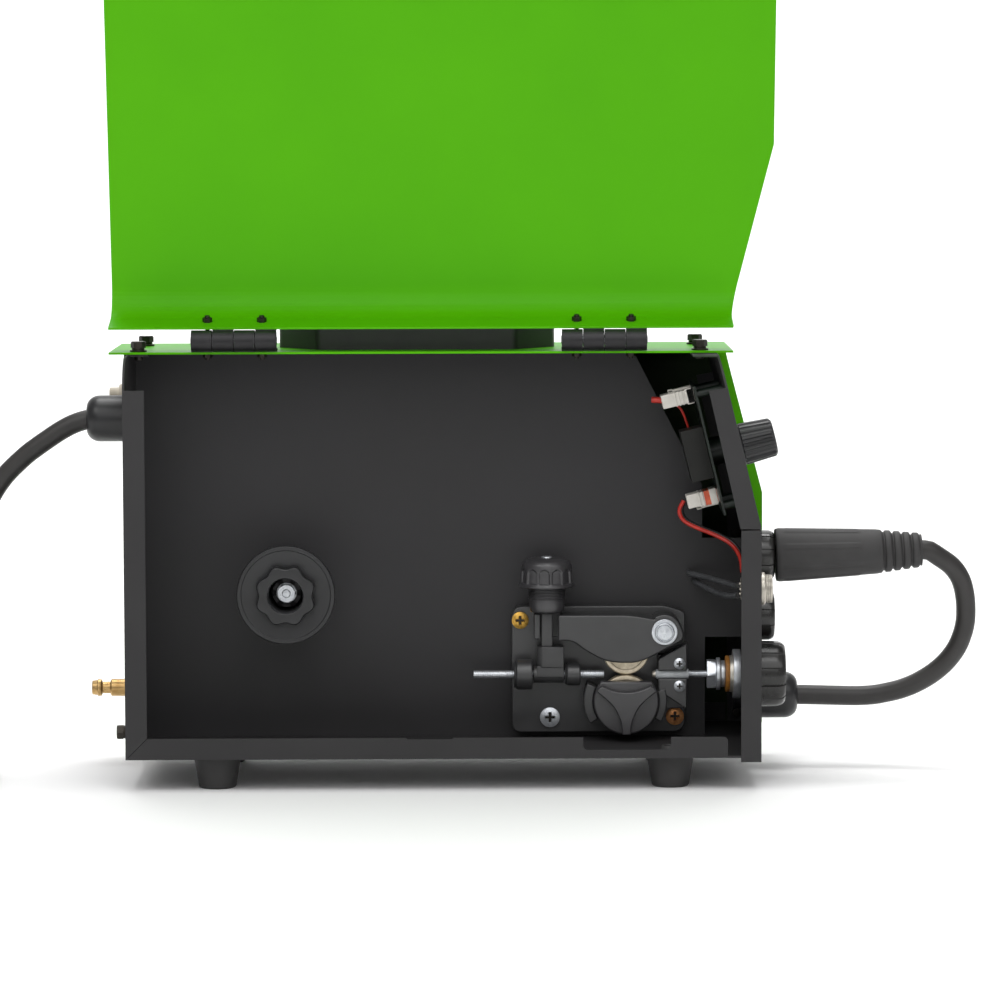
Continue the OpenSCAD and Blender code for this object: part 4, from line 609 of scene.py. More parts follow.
def tie_strap():
    """The strap round the coil: a closed band 9 mm wide and 1.2 mm thick, rounded where it bends."""
    low, high, near, far, thick, half = 0.6, LIE + TURN_STEP + CORD_R + 1.2, -151.2, -121.4, 1.2, 4.5
    outer = rounded_loop(rectangle(near, far, low, high), 6.0, 8)
    inner = shrunk(outer, thick)
    rings = [np.column_stack([np.full(len(line), COIL_X + x), line])
             for x, line in ((-half, outer), (half, outer), (half, inner), (-half, inner))]
    return np.concatenate(rings), wall_quads(len(rings), len(outer), True)


piece("cord_tie_strap", tie_strap(), moulded_rubber, "cord_tie")


# ------------------------------------------------------------------ sheet metal, hinges, handle, feet

for node, edge in (("base_tray", 0.35), ("rear_panel", 0.35), ("front_panel_lower", 0.35),
                   ("control_panel", 0.35), ("partition_wall", 0.35), ("fixed_cover", 0.3),
                   ("side_door", 0.3), ("hinge_fixed_leaves", 0.5), ("hinge_door_leaves", 0.5),
                   ("latch_housing", 0.8), ("latch_slider", 0.5), ("hinge_pins", 0.5), ("feed_motor", 1.5),
                   ("fan_frame", 0.8), ("top_handle", 2.2)):
    softened(node, edge)


def paint_cover_inside_shade():
    """Paints shade on the cover's inner faces as far forward as the front panel, along which they are cut: they
    take the dark painted-shade finish. Those beyond it stay green."""
    mesh = bpy.data.objects["fixed_cover_formed"].data
    mesh.materials.append(cover_inside_painted_shade)
    work = bmesh.new()
    work.from_mesh(mesh)
    for height, out in ((KNEE_Z, PANEL_OUT), (0.0, FRONT)):
        bmesh.ops.bisect_plane(work, geom=work.verts[:] + work.edges[:] + work.faces[:], dist=1e-6,
                               plane_co=((FRONT_X - 1) * MM, 0, height * MM), plane_no=out)
    for face in work.faces:
        x, y, z = face.calc_center_median() / MM
        inwards = face.normal.y < -0.5 and y > 60 or face.normal.z < -0.5 and z > 250
        # Inner faces behind the front panel take the painted shade.
        face.material_index = int(inwards and x < face_x(z) - 1)
    work.to_mesh(mesh)
    work.free()
    shade_folds(mesh)


paint_cover_inside_shade()


def hex_head(radius, height, start=0.0):
    """A hexagon head or nut: its corners are at radius, so r' = r cos 30 / cos(30 less the angle from a corner).
    A cone chamfers its far end, down to 0.88 of the radius over the last millimetre."""
    top = start + height
    profile = [(start, AXIS), (start, radius), *((z, radius) for z in np.linspace(top - 1, top, 5)), (top, AXIS)]

    def hexagon(r, a, z):
        off_corner = np.abs(((a + math.pi / 6) % (math.pi / 3)) - math.pi / 6)
        six = r * math.cos(math.pi / 6) / np.cos(math.pi / 6 - off_corner)
        return np.minimum(six, radius - (radius - radius * 0.88) * np.clip(z - top + 1, 0, 1))
    return turned(profile, 72, hexagon)


def washer(outer, inner, thick, start=0.0, edge=0.3):
    """A washer with rounded rims."""
    end = start + thick
    return turned_ring([(start, inner), (start, outer), (end, outer), (end, inner)], edge, 3, 56)


def barrel(radius, z0, z1, edge=0.4, columns=56):
    """A plain round bar from z0 to z1 with rounded ends."""
    return turned(rounded([(z0, AXIS), (z0, radius), (z1, radius), (z1, AXIS)], edge, 3), columns)


def cross_screw(radius, height):
    """A domed screw head: at radius r it is height (1 - 0.45 (r/R)^2) high, less a cross 2 mm deep whose arms
    are 0.34 R wide and reach 0.55 R, with soft walls."""
    rings, columns = 26, 96
    r = np.linspace(0.02, 1, rings)[:, None] * radius
    a = np.arange(columns) * TURN / columns
    x, y = r * np.cos(a), r * np.sin(a)
    arm = lambda p, q: np.clip((0.17 * radius - np.abs(p)) / (0.06 * radius), 0, 1) * np.clip(
        (0.55 * radius - np.abs(q)) / (0.1 * radius), 0, 1)
    z = height * (1 - 0.45 * (r / radius) ** 2) - 2.0 * np.maximum(arm(x, y), arm(y, x))
    top = np.stack([x, y, z], -1).reshape(-1, 3)
    rim = top[-columns:] * (1, 1, 0)
    return np.concatenate([top, rim]), [face[::-1] for face in tube_faces(rings + 1, columns)]


def cross_recess_shade(radius, height):
    """Painted shade in a cross recess: a thin dark plus sign at the recess's floor, whose arms are 0.2 R wide and
    reach 0.5 R.
    """
    w, l = 0.1 * radius, 0.5 * radius
    plus = [(-w, -l), (w, -l), (w, -w), (l, -w), (l, w), (w, w), (w, l), (-w, l), (-w, w), (-l, w), (-l, -w),
            (-w, -w)]
    return raised(slab(plus, 0.3, 0.05, 1), height)


def foot():
    """A rubber foot: a cone with rounded rims under a lipped neck, round a bolt hole that widens at the sole."""
    return turned_ring([(0, 5.5), (0, 12.2), (1.2, 13.1), (21.4, 16.4), (23, 15.4), (23, 6.9), (24.5, 6.9),
                        (24.7, 8.0), (28.4, 6.1), (28.4, 4.05), (4, 4.05)], 1.4, 4, 72)


FEET = [(x, y, 0) for x in (-158.0, 158.0) for y in (-62.0, 62.0)]
piece("feet_moulded", copies(foot(), FEET, UP), moulded_rubber, "rubber_feet")

TOP_BOLTS = [(x, y, TOP) for x in (-212.5, face_x(301.5) - 11.5) for y in (-37.0, 38.0)]
SIDE_BOLTS = [(-212.5, 91.5, 30.5), (-212.5, 91.5, 223.0), (212.5, 91.5, 30.5), (212.5, 91.5, 163.0)]
REAR_BOLTS = [(REAR_X, -70.0, 40.0), (REAR_X, 78.0, 40.0)]


def case_bolt():
    """A hexagon bolt with its shank, over a wide washer and a narrow one."""
    return joined(washer(6.0, 2.9, 1.2), washer(4.5, 2.9, 1.6, 1.3, 0.25), hex_head(5.3, 4.4, 2.8),
                  barrel(3.0, -6, 3.0))


piece("case_bolt_set", joined(copies(case_bolt(), TOP_BOLTS, UP), copies(case_bolt(), SIDE_BOLTS, AWAY),
                              copies(case_bolt(), REAR_BOLTS, REAR)), black_oxide_steel, "case_bolts")


# ------------------------------------------------------------------ wire drive

def side_plate(outline, y_far, thick, edge, steps=3):
    """A plate seen from the open side: its outline in X and Z is carried thick towards the viewer from y_far,
    and only its near edges are rounded."""
    return moved(slab(outline, thick, edge, steps, both=False), (0, y_far, 0), NEAR)


def arc_points(centre, radius, start, end, steps=16):
    """Points (x, z) on an arc, angles in degrees."""
    a = np.radians(np.linspace(start, end, steps))
    return np.column_stack([centre[0] + radius * np.cos(a), centre[1] + radius * np.sin(a)])


def feeder_plate():
    """The moulded plate: a slab with rounded corners whose top front one is cut on a slant, two curved walls
    round the drive roller's cap, and a seat under the outlet clamps."""
    (x0, z0), (x1, z1) = PLATE_LOW, PLATE_HIGH
    outline = rounded_loop([(x0, z0), (x1, z0), (x1, z1 - 4.5), (x1 - 6.5, z1 - 2.4), (x1 - 14.5, z1), (x0, z1)],
                           [7, 9, 3, 3, 3, 9], 6)
    base = side_plate(outline, PART_Y, 12, 0.9, 4)
    walls = []
    for start, end, r in ((212, 155, 30.0), (-31, 18, 29.0)):
        outer = arc_points((ROLLER_X, DRIVE_Z), r, start, end)
        inner = arc_points((ROLLER_X, DRIVE_Z), 23.2, end, start)
        line = np.concatenate([outer, inner])[::1 if start > 90 else -1]
        walls.append(side_plate(line, 3, 21.5, 0.9))
    seat = rounded_loop(rectangle(CLAMP_X[0], CLAMP_X[1] - 0.7, 46.6, WIRE_Z + 13), 1.0, 3)
    return joined(base, *walls, side_plate(seat, 3, 9.4, 0.5))


piece("feeder_plate_moulded", feeder_plate(), feeder_nylon, "feeder_plate")

SCREWS = [(54.0, 108.9, 6.0, yellow_chromate), (75.0, 39.4, 7.0, bright_zinc),
          (164.0, 40.0, 6.4, copper_chromate)]
for k, (x, z, r, finish) in enumerate(SCREWS):
    screw = moved(joined(cross_screw(r, 3.2), barrel(2.6, -14, 0.3)), (x, PLATE_Y, z), NEAR)
    piece(f"feeder_screw_{k + 1}", screw, finish, *(["feeder_screws"] if k == 0 else []), slot="screw_zinc")
# Dark plus signs at the floors of the screws' cross recesses: painted shade.
recess_shades = [moved(cross_recess_shade(r, 1.15), (x, PLATE_Y, z), NEAR) for x, z, r, finish in SCREWS]
piece("screw_recess_painted_shade", joined(*recess_shades, copies(cross_recess_shade(4.0, 0.95), CLAMP_SCREWS, NEAR)), black_oxide_steel,
      slot="screw_zinc")
piece("clamp_screws", copies(joined(cross_screw(4.0, 3.0), barrel(2.0, -11, 0.2, 24)), CLAMP_SCREWS, NEAR),
      bright_zinc, slot="screw_zinc")


def pressure_arm():
    """The pressure arm: a thick moulded plate with a bevelled rim, whose round eye sits at the pivot, whose
    belly curves round the roller, and whose open rear holds the tension rod between two prongs."""
    px, pz = PIVOT
    belly = [(ROLLER_X - 37.5, FORK_LOW), (ROLLER_X - 29, WIRE_Z + 18.0), (ROLLER_X - 15.7, WIRE_Z + 10.8),
             (ROLLER_X - 6, WIRE_Z + 9.2), (ROLLER_X + 6, WIRE_Z + 9.2), (ROLLER_X + 13.6, WIRE_Z + 11.4)]
    eye = arc_points(PIVOT, 12.4, 24, 124, 12)
    top = [(ROLLER_X + 20, ARM_TOP - 3.0), (ROLLER_X + 3.5, ARM_TOP)]
    front_line = [(80.7, FORK_LOW)] + belly + [(px + 13.2, pz - 6), (px + 14, pz - 1)] + eye.tolist() + top \
        + [(80.7, ARM_TOP)]
    radii = [1.2, 5, 9, 9, 7, 7, 4, 3, 4] + [0] * len(eye) + [8, 8, 1.5]
    front = side_plate(rounded_loop(front_line, radii, 5), -17.6, 6.4, 1.3, 4)
    back_line = [(82.4, FORK_LOW + 0.3), (91, FORK_LOW + 0.3), (106, PRESS_Z + 17.6), (149, PRESS_Z + 17.6),
                 (150.6, WIRE_Z + 22), (164, WIRE_Z + 21), (px + 13, pz - 1)] + eye.tolist() + top \
        + [(82.4, ARM_TOP - 0.2)]
    back = side_plate(rounded_loop(back_line, [1.5] * 7 + [0] * len(eye) + [6, 6, 1.5], 3), 1.5, 19.2, 0.3)
    prong = side_plate(rounded_loop(rectangle(63.8, 68.2, FORK_LOW, ARM_TOP), 0.8, 3), 1.5, 15.5, 0.8)
    link = side_plate(rounded_loop(rectangle(63.8, 83, FORK_LOW, ARM_TOP), 0.8, 3), 1.5, 2.0, 0.6)
    return joined(front, back, prong, link)


def dotted_head():
    """The pivot's flat head: a disc with a fine ring sunk near its rim and three small dots on its face."""
    head = turned(rounded([(25.8, AXIS), (25.8, 6.9), (29.0, 6.9), (29.5, 6.4), (29.5, 6.0), (28.0, 5.9),
                           (28.0, 5.3), (29.5, 5.2), (29.5, AXIS)], 0.2, 2), 72)
    dot = turned_ring([(29.3, 0.5), (29.7, 0.6), (29.7, 1.0), (29.3, 1.1)], 0.1, 2, 24)
    return joined(head, copies(dot, circle(2.2, 3, 0.5), UP))


piece("pressure_arm_moulded", pressure_arm(), feeder_nylon, "pressure_arm")
pivot = joined(barrel(5.0, -13, 24.2, 0.6), washer(9.2, 5.2, 1.6, 24.3, 0.5), dotted_head())
piece("arm_pivot_screw", moved(pivot, (PIVOT[0], 0, PIVOT[1]), NEAR), bright_zinc, "arm_pivot_pin")


def roller(radius, bore):
    """A hardened roller 10 mm wide: a ring with a fine V groove in its middle and chamfered rims."""
    return turned_ring([(0, bore), (0, radius - 0.7), (0.7, radius), (4.1, radius), (5, radius - 0.8),
                        (5.9, radius), (9.3, radius), (10, radius - 0.7), (10, radius - 3.2), (9.5, radius - 3.6),
                        (9.5, bore + 2), (10, bore + 1.6), (10, bore)], 0.12, 2, 120)


piece("drive_roller_ground", moved(roller(18.5, 5.0), (ROLLER_X, ROLLER_Y, DRIVE_Z), NEAR), ground_steel,
      "drive_roller")
piece("pressure_roller_ground", moved(roller(16.5, 4.06), (ROLLER_X, ROLLER_Y, PRESS_Z), NEAR), ground_steel,
      "pressure_roller")


def roller_cap():
    """The cap over the drive roller: a disc cut flat at the top with a bevelled rim, and a raised grip of three
    arms. Its hollow sides are smooth curves through given points, and its top edge sags by 4.6 mm."""
    flat = math.asin(14.6 / 23)
    rim = arc_points((0, 0), 23.0, 180 - math.degrees(flat), 360 + math.degrees(flat), 72)
    disc = slab(rim, 6.5, 1.3, 4, both=False)
    side = smooth_path([(21.2, 8.4, 0), (17.0, 5.0, 0), (12.5, 0.9, 0), (9.2, -2.6, 0), (6.6, -7.0, 0),
                        (4.4, -12.5, 0), (3.3, -17.5, 0), (2.9, -22.4, 0)], 1.2)[:, :2]
    corner = np.array([(18.2, 11.4), (19.6, 10.6)])
    sag = np.linspace(-17.2, 17.2, 19)
    top = np.column_stack([sag, 12.2 - 4.6 * (1 - (sag / 17.2) ** 2)])
    half = np.concatenate([corner, side])
    outline = np.concatenate([half, (half * (-1, 1))[::-1], top])
    grip = slab(rounded_loop(outline, 0.25, 1), 6.4, 0.9, 4, both=False)
    return joined(disc, raised(grip, 6.5))


piece("roller_cap_moulded", moved(roller_cap(), (ROLLER_X, -17.5, DRIVE_Z), NEAR), handled_nylon,
      "roller_cap")


def tension_knob():
    """The tension knob: a sleeve with a rounded foot and fine rings on its upper part, and a head over it with
    a rim below and a domed shoulder. Twelve panels are sunk into the head, r' = r - 1.2, between narrow ridges,
    and each ends in an arch, lower away from its middle."""
    sleeve = [(0, 9.3), (0, 10.6), (0.7, 11.6), (1.8, 12.1), (8.4, 12.7)]
    for k in range(8):
        z = 9.0 + k * 1.1
        sleeve += [(z, 12.45), (z + 0.35, 13.0), (z + 0.75, 13.0)]
    head = [(18.0, 13.0), (18.0, 19.0), (18.5, 19.5), (19.4, 19.5), (20.2, 18.8), (21.0, 18.5), (31.5, 17.9),
            (34.5, 17.3), (36.6, 15.7), (37.9, 13.2), (38.5, 10.0), (38.7, 5.2), (38.5, 4.4), (38.5, AXIS)]
    bore = [(25.0, AXIS), (25.0, 9.2), (0, 9.25)]
    profile = np.concatenate([rounded(head, 0.8, 3)[::-1], sleeve[::-1], bore[::-1]])
    fine = subdivided(profile, 0.7, lambda a, b: a[0] > 18.5 and b[0] > 18.5 and a[1] > 12)

    def panels(r, a, z):
        off = np.abs((((a - math.radians(8.5)) * 12 / TURN) % 1) - 0.5)
        wide = np.clip((0.42 - off) / 0.06, 0, 1)
        arch = 31.8 - 14 * off ** 2
        return r - 1.2 * wide * np.clip((z - 20.6) / 0.8, 0, 1) * np.clip(arch - z, 0, 1) * (r > 12)
    return turned(fine, 288, panels)


piece("tension_knob_moulded", moved(tension_knob(), (ROD_X, WIRE_Y, ARM_TOP + 1.2), UP), handled_nylon,
      "tension_knob")


def tension_rod():
    """The swinging block on the wire line, with a flat bar up through the arm's fork and the rod in the knob."""
    eye = on_wire(barrel(6.0, 0, 21.7, 0.5), ROD_X - 9.6)
    block = slab(rounded_loop([(69.4, -19), (84.5, -19), (84.5, -5), (65.6, -5), (65.6, -16)], 0.6, 2), 14.6, 0.5)
    base = slab(rounded_loop(rectangle(65.6, 84.5, -18.2, -5), 0.6, 2), 8.0, 0.5)
    bar = slab(rounded_loop(rectangle(69.0, 76.7, -16, -8.5), 0.7, 3), 24.0, 0.2)
    return joined(eye, raised(block, WIRE_Z + 5.5), raised(base, WIRE_Z - 1.5), raised(bar, WIRE_Z + 19.5))


piece("tension_rod_moulded", tension_rod(), feeder_nylon, "tension_rod")
piece("tension_rod_stud", moved(barrel(3.85, 43.4, 84.0, 0.8, 40), (ROD_X, WIRE_Y, WIRE_Z), UP), bright_zinc,
      slot=SLOT["tension_rod"], body=BODY["tension_rod"])


def coil_spring(radius, wire, length, turns):
    """A wound spring: its wire follows (r cos a, r sin a, z) with z rising evenly with a, closed at its ends."""
    t = np.linspace(0, 1, int(turns * 20) + 1)
    s = np.clip((t - 0.06) / 0.88, 0, 1)
    path = np.column_stack([radius * np.cos(TURN * turns * t), radius * np.sin(TURN * turns * t),
                            wire + s * (length - 2 * wire)])
    return sheath_rings(path, wire, 10)


piece("tension_spring_wound", moved(coil_spring(6.9, 1.2, 23.2, 7), (ROD_X, WIRE_Y, ARM_TOP + 1.7), UP),
      drawn_steel, "tension_spring")


def wire_guides():
    """The two black guide bosses on the wire line, each with a collar, and their webs back to the plate."""
    def boss(x0, x1, r):
        return on_wire(turned_ring([(x0, 2.9), (x0, r - 0.6), (x0 + 0.8, r), (x1 - 0.8, r), (x1, r - 0.6),
                                    (x1, 2.9)], 0.4, 3, 72), 0)

    def web(x0, x1, half):
        return raised(slab(rounded_loop(rectangle(x0, x1, -11, 2.2), 0.5, 2), 2 * half, 0.5), WIRE_Z - half)
    return joined(boss(49.4, 51.2, 9.6), boss(51.0, 62.5, 10.8), boss(85.4, 87.0, 7.2), boss(86.8, 96.4, 8.0),
                  web(51.2, 61.9, 6), web(86.8, 95.8, 5))


piece("wire_guides_moulded", wire_guides(), feeder_nylon, "wire_guides")


def clamp(sign, low, high):
    """One clamp of the outlet tube: a wedge whose inner edge bears on the tube and whose outer edge rises
    towards the front."""
    corners = [(CLAMP_X[0], WIRE_Z + sign * 2.9), (CLAMP_X[1], WIRE_Z + sign * 2.9),
               (CLAMP_X[1], WIRE_Z + sign * high), (CLAMP_X[0], WIRE_Z + sign * low)]
    return side_plate(rounded_loop(corners[::sign], [0.5, 1.2, 1.2, 1.2][::sign], 3), -6.5, 11.5, 0.9)


piece("outlet_clamps", joined(clamp(1, 11, 22.6), clamp(-1, 11, 25)), feeder_nylon, slot="feeder_plastic")


def threaded(radius, length, pitch, bore):
    """A threaded rod: r' = radius - depth |2 frac(z / pitch - a / 2 pi) - 1|, with plain chamfered ends."""
    depth, per_turn = 0.25, 6
    rows = np.linspace(0, length, int(length / pitch * per_turn) + 1)
    outer = np.column_stack([rows, np.full(len(rows), radius)])
    outer[0, 1] = outer[-1, 1] = radius - depth

    def cut(r, a, z):
        wave = np.abs(2 * ((z / pitch - a / TURN) % 1) - 1)
        return np.where(r > bore + 0.2, np.minimum(r, radius - depth * wave), r)
    return turned(np.concatenate([[(0, bore)], outer, [(length, bore)]]), 36, cut, ring=True)


piece("inlet_rod", on_wire(threaded(2.85, 92.3, 1.25, 1.1), 20.8), bright_zinc, "inlet_tube")
outlet = turned_ring([(0, 1.1), (0, 2.3), (1.2, 3.1), (1.2, 3.5), (24, 3.5), (24, 1.1)], 0.4, 3, 48)
piece("outlet_sleeve", on_wire(outlet, 149.1), pale_liner, "outlet_tube")
tip = turned_ring([(-1.5, 1.1), (-1.5, 2.0), (0.2, 2.6), (4.5, 2.8), (4.5, 1.1)], 0.3, 3, 40)
piece("outlet_tip", on_wire(tip, 148.8), nickel_plate, slot="tube_steel")


def torch_stack():
    """Along the torch connector: the thin threaded rod, then the hexagon nut, a washer, a smaller one, the
    insulating ring and the big plate washer that bears on the front panel."""
    rod = threaded(2.4, 15, 1.0, 1.1)
    body = joined(barrel(6.7, 14.2, 30, 0.5), barrel(13.0, 30.0, 62, 0.6))
    nut = joined(hex_head(11.0, 6.4, 14.1), washer(11.5, 6.9, 2.8, 20.7, 0.5), washer(9.5, 6.9, 3.1, 23.8, 0.5),
                 washer(17.4, 13.1, 5.4, 32.4, 0.7))
    ring = washer(12.8, 6.9, 2.9, 27.1, 0.6)
    return [on_wire(part, TORCH_X) for part in (rod, body, nut, ring)]


rod, body, nut, ring = torch_stack()
piece("torch_rod", rod, bright_zinc, "torch_connector")
piece("torch_body", body, nickel_plate, slot="nut_steel")
piece("torch_nut", nut, bright_zinc, "torch_nuts")
piece("torch_insulating_ring", ring, phenolic_ring, slot="connector_brass")


def torch_shroud():
    """The collar round the torch socket: smooth and round, with twelve narrow grooves 0.9 mm deep, a rounded
    shoulder, and a deep recess."""
    loop = rounded_loop([(0, 13.1), (0, 22.6), (1.5, 23.3), (16, 23.0), (19.4, 21.8), (21, 19.8), (21, 19.2),
                         (4, 19.0), (4, 13.1)], 1.2, 4)
    fine = subdivided(np.concatenate([loop, loop[:1]]), 1.5, lambda a, b: a[1] > 20)[:-1]
    groove = lambda r, a, z: r - 0.9 * np.clip((0.05 - np.abs((a * 12 / TURN) % 1 - 0.5)) / 0.02, 0, 1) \
        * (r > 20) * np.clip((z - 1.4) / 1.2, 0, 1)
    return turned(fine, 360, groove, ring=True)


piece("torch_shroud_moulded", on_wire(torch_shroud(), FRONT_X), glossy_abs, "torch_shroud")


# ------------------------------------------------------------------ spool hub

def spool_cap():
    """The cap on the hub: a flat disc with a fine rim line, and a low grip whose edge makes eight shallow
    waves, r' = 20.1 + 1.25 cos 8a, round a deep hole."""
    disc = turned_ring([(0, 12.3), (0, 33.9), (0.8, 34.5), (4.9, 34.5), (5.9, 34.1), (6.0, 33.4), (6.0, 31.5),
                        (5.5, 31.1), (5.5, 12.3)], 0.3, 3, 160)
    waves = lambda r, a, z: np.where(r > 15, r + 1.25 * np.cos(8 * (a - TURN / 16)), r)
    grip = turned_ring([(5.0, 12.2), (5.0, 20.4), (13.2, 20.1), (14.0, 19.3), (14.0, 12.9), (13.2, 12.2)],
                       0.35, 4, 192, waves)
    return joined(disc, grip)


piece("spool_cap_moulded", moved(spool_cap(), (HUB_X, -42.2, HUB_Z), NEAR), satin_nylon, "spool_cap")
softened("spool_hub", 0.6)
softened("hub_base", 0.6)
piece("hub_insert", moved(hex_head(11.4, 4.0), HUB_FACE, NEAR), black_zinc_steel, slot=SLOT["hub_bolt"])
bolt = joined(barrel(7.2, 3.9, 4.6, 0.3), hex_head(6.8, 5.4, 4.5), barrel(3.0, 9, 10.6, 0.6, 32))
piece("hub_bolt_head", moved(bolt, HUB_FACE, NEAR), bright_zinc, "hub_bolt")
piece("brake_spring_wound", moved(coil_spring(7.7, 1.1, 20.5, 6), (HUB_X, -7.0, HUB_Z), NEAR), drawn_steel,
      "brake_spring")


# ------------------------------------------------------------------ front fittings

def cable_socket():
    """One cable socket: a smooth collar with ten narrow grooves, a rounded shoulder and a round recess, whose
    bore takes the plug's pin."""
    corners = [(-6, 4.6), (-6, 14), (0, 14), (0, 17.3), (1.4, 17.9), (11.4, 17.7), (14.2, 16.4), (15, 14.6),
               (15, 11.2), (7, 11.0), (7, 4.6)]
    groove = lambda r, a, z: r - 0.9 * np.clip((0.045 - np.abs((a * 10 / TURN) % 1 - 0.5)) / 0.018, 0, 1) \
        * (r > 14.6) * (z > 0.8)
    return turned_ring(corners, 1.0, 4, 360, groove)


SOCKETS = [(FRONT_X, SOCKET_Y, z) for z in (PLUS_Z, MINUS_Z)]
piece("cable_socket_collars", copies(cable_socket(), SOCKETS, FRONT), glossy_abs, "cable_sockets")


def remote_socket():
    """The remote lead's socket: a nickel collar with fine threads, a nut behind the panel and four pins in
    its well."""
    thread = [(5 + k * 0.6, 10.0 - 0.25 * (k % 2)) for k in range(8)]
    collar = turned_ring([(-1.5, 8.6), (-1.5, 9.5), (0, 9.5), (0, 11.5), (4.4, 11.5), (5, 11.0), *thread,
                          (10, 9.6), (10, 8.6), (1, 8.5)], 0.15, 2, 96)
    shell = turned(rounded([(-12, AXIS), (-12, 7.8), (-5, 8.0), (1.0, 8.4), (1.0, AXIS)], 0.5, 3), 64)
    pins = copies(barrel(0.9, -13, 7, 0.3, 20), circle(3.5, 4), UP)
    return joined(collar, shell, hex_head(11.5, 4.0, -5.5), pins)


piece("remote_socket_nickel", moved(remote_socket(), (FRONT_X, -45.0, 136.0), FRONT), nickel_plate,
      "remote_socket")


def gland(length, bore):
    """A cable gland: a hexagon foot, a smooth round body, and an end that rounds over to the cable by a
    quarter ellipse. Its nut and thread are inside the case."""
    turn = np.linspace(0, math.pi / 2, 9)
    dome = np.column_stack([length + 9.5 * np.sin(turn), bore + 1.6 + (15.0 - bore) * np.cos(turn)])
    profile = np.concatenate([[(6.5, AXIS), (6.5, 16.0), (7.2, 16.6), (length - 1, 16.6)], dome,
                              [(length + 9.0, bore + 0.3), (length + 5, AXIS)]])
    return joined(hex_head(18.0, 7.0), turned(profile, 96), hex_head(13.0, 5.0, -6.5), barrel(10.0, -12, 0.5))


piece("cable_gland_set", joined(moved(gland(26.0, CORD_R), (REAR_X, GLAND_Y, REAR_GLAND_Z), REAR),
                                moved(gland(24.0, JUMPER_R), (FRONT_X, GLAND_Y, FRONT_GLAND_Z), FRONT)),
      satin_nylon, "cable_glands")


def gas_nipple():
    """The hose nipple: hexagon, stem, a groove, then a rounded collar and the barb, round a bore."""
    stem = turned_ring([(0, 2.0), (0, 6.0), (6, 6.25), (21.6, 6.25), (22.4, 5.5), (22.4, 4.3), (28.4, 4.2),
                        (28.9, 6.0), (31.5, 6.3), (31.9, 5.6), (35.8, 5.0), (36.1, 2.0)], 0.5, 4, 64)
    return joined(stem, hex_head(9.0, 4.0), hex_head(9.0, 4.0, -5.5), barrel(5.0, -10, 0.5, 0.5, 40))


piece("gas_nipple_turned", moved(gas_nipple(), (REAR_X, 65.0, 53.6), REAR), turned_brass, "gas_nipple")

BREAKER = (REAR_X, 62.0, 267.0)
breaker = turned_ring([(0, 5.1), (0, 8.8), (2.2, 8.8), (3, 8.0), (3, 7.5), (13.4, 7.3), (14, 6.7), (14, 5.1)],
                      0.5, 3, 72)
breaker = joined(breaker, barrel(11.4, -32, -3, 1.2, 64), barrel(8.0, -3.2, 0.4))
piece("reset_breaker_body", moved(breaker, BREAKER, REAR), beige_urea, "reset_breaker")
piece("reset_button_cap", moved(barrel(4.95, 6, 21, 1.0, 48), BREAKER, REAR), beige_urea, "reset_button")


def control_knob():
    """The control knob: a skirt, then a body that narrows towards its face with 18 flat-topped ribs."""
    profile = rounded([(1.5, AXIS), (1.5, 15.2), (3.2, 15.2), (4.0, 14.2), (26, 12.9), (27.5, 11.8),
                       (27.5, AXIS)], 0.9, 4)
    fine = subdivided(profile, 2.5, lambda a, b: a[1] > 9)
    ribs = lambda r, a, z: r + 0.8 * np.clip(2.2 * np.cos(18 * a), -0.4, 1) * (z > 4.2) * np.clip(
        (27 - z) / 1.5, 0, 1) * (r > 10.5)
    return joined(turned(fine, 216, ribs), barrel(2.8, -7, 5, 0.4, 32))


piece("control_knob_moulded", moved(control_knob(), (face_x(KNOB_Z), 0.0, KNOB_Z), PANEL_OUT), satin_nylon,
      "control_knob")


# ------------------------------------------------------------------ controls and wiring

def slope_box(u0, u1, v0, v1, w0, w1, edge):
    """A block with rounded edges on the circuit board: u runs down the slope from the knob's height, v across
    from the board's middle and w out of the panel's face."""
    points, faces = raised(slab(rounded_loop(rectangle(u0, u1, v0, v1), edge, 3), w1 - w0, edge), w0)
    axes = np.array([(math.sin(SLOPE), 0, -math.cos(SLOPE)), (0, 1, 0), PANEL_OUT])
    return points @ axes + (face_x(KNOB_Z), BOARD_Y, KNOB_Z), faces


softened("control_board", 0.25)


def connector(u, depth, latch_side):
    """A nylon wire housing on the board's back: its block, a rail, three ribs, and a latch that ends in a hook,
    above it for latch_side -1 and below it for 1."""
    half, high = 8.0, 9.6

    def band(by, w0, w1, edge):
        return slope_box(u - by, u + high + by, -half - by, half + by, BOARD_BACK - w0, BOARD_BACK - w1, edge)
    at = u - 2.0 if latch_side < 0 else u + high + 0.3
    latch = slope_box(at, at + 1.7, -3.2, 3.2, BOARD_BACK - depth * 0.75, BOARD_BACK - 1, 0.4)
    hook = slope_box(at - 0.4, at + 2.1, -3.2, 3.2, BOARD_BACK - depth * 0.75, BOARD_BACK - depth * 0.6, 0.3)
    ribs = [band(0.4, w + 1, w, 0.25) for w in (8, 10.5, 13)]
    return joined(band(0, depth, 0, 0.5), band(0.8, 6, 1, 0.4), latch, hook, *ribs)


piece("upper_wire_housing", connector(-48.8, 23.3, -1), natural_nylon, "board_connectors")
piece("lower_wire_housing", connector(23.8, 22.4, 1), natural_nylon, slot="connector_nylon")
piece("lower_housing_seal", slope_box(23.4, 33.8, -8.5, 8.5, -31.5, -22.2, 0.6), orange_lacquer,
      slot="connector_nylon")
piece("upper_housing_header", slope_box(-49.4, -38.6, -8.8, 8.8, -27.0, -22.0, 0.5), relay_moulding,
      slot="board_green")
piece("board_relay", slope_box(-22, 15, -21, 4, -38, BOARD_BACK, 0.8), relay_moulding, slot="board_green")


def wire(points, radius, columns=14):
    """A thin lead along a smooth curve through points."""
    return sheath_rings(smooth_path(points, 2.0), radius, columns)


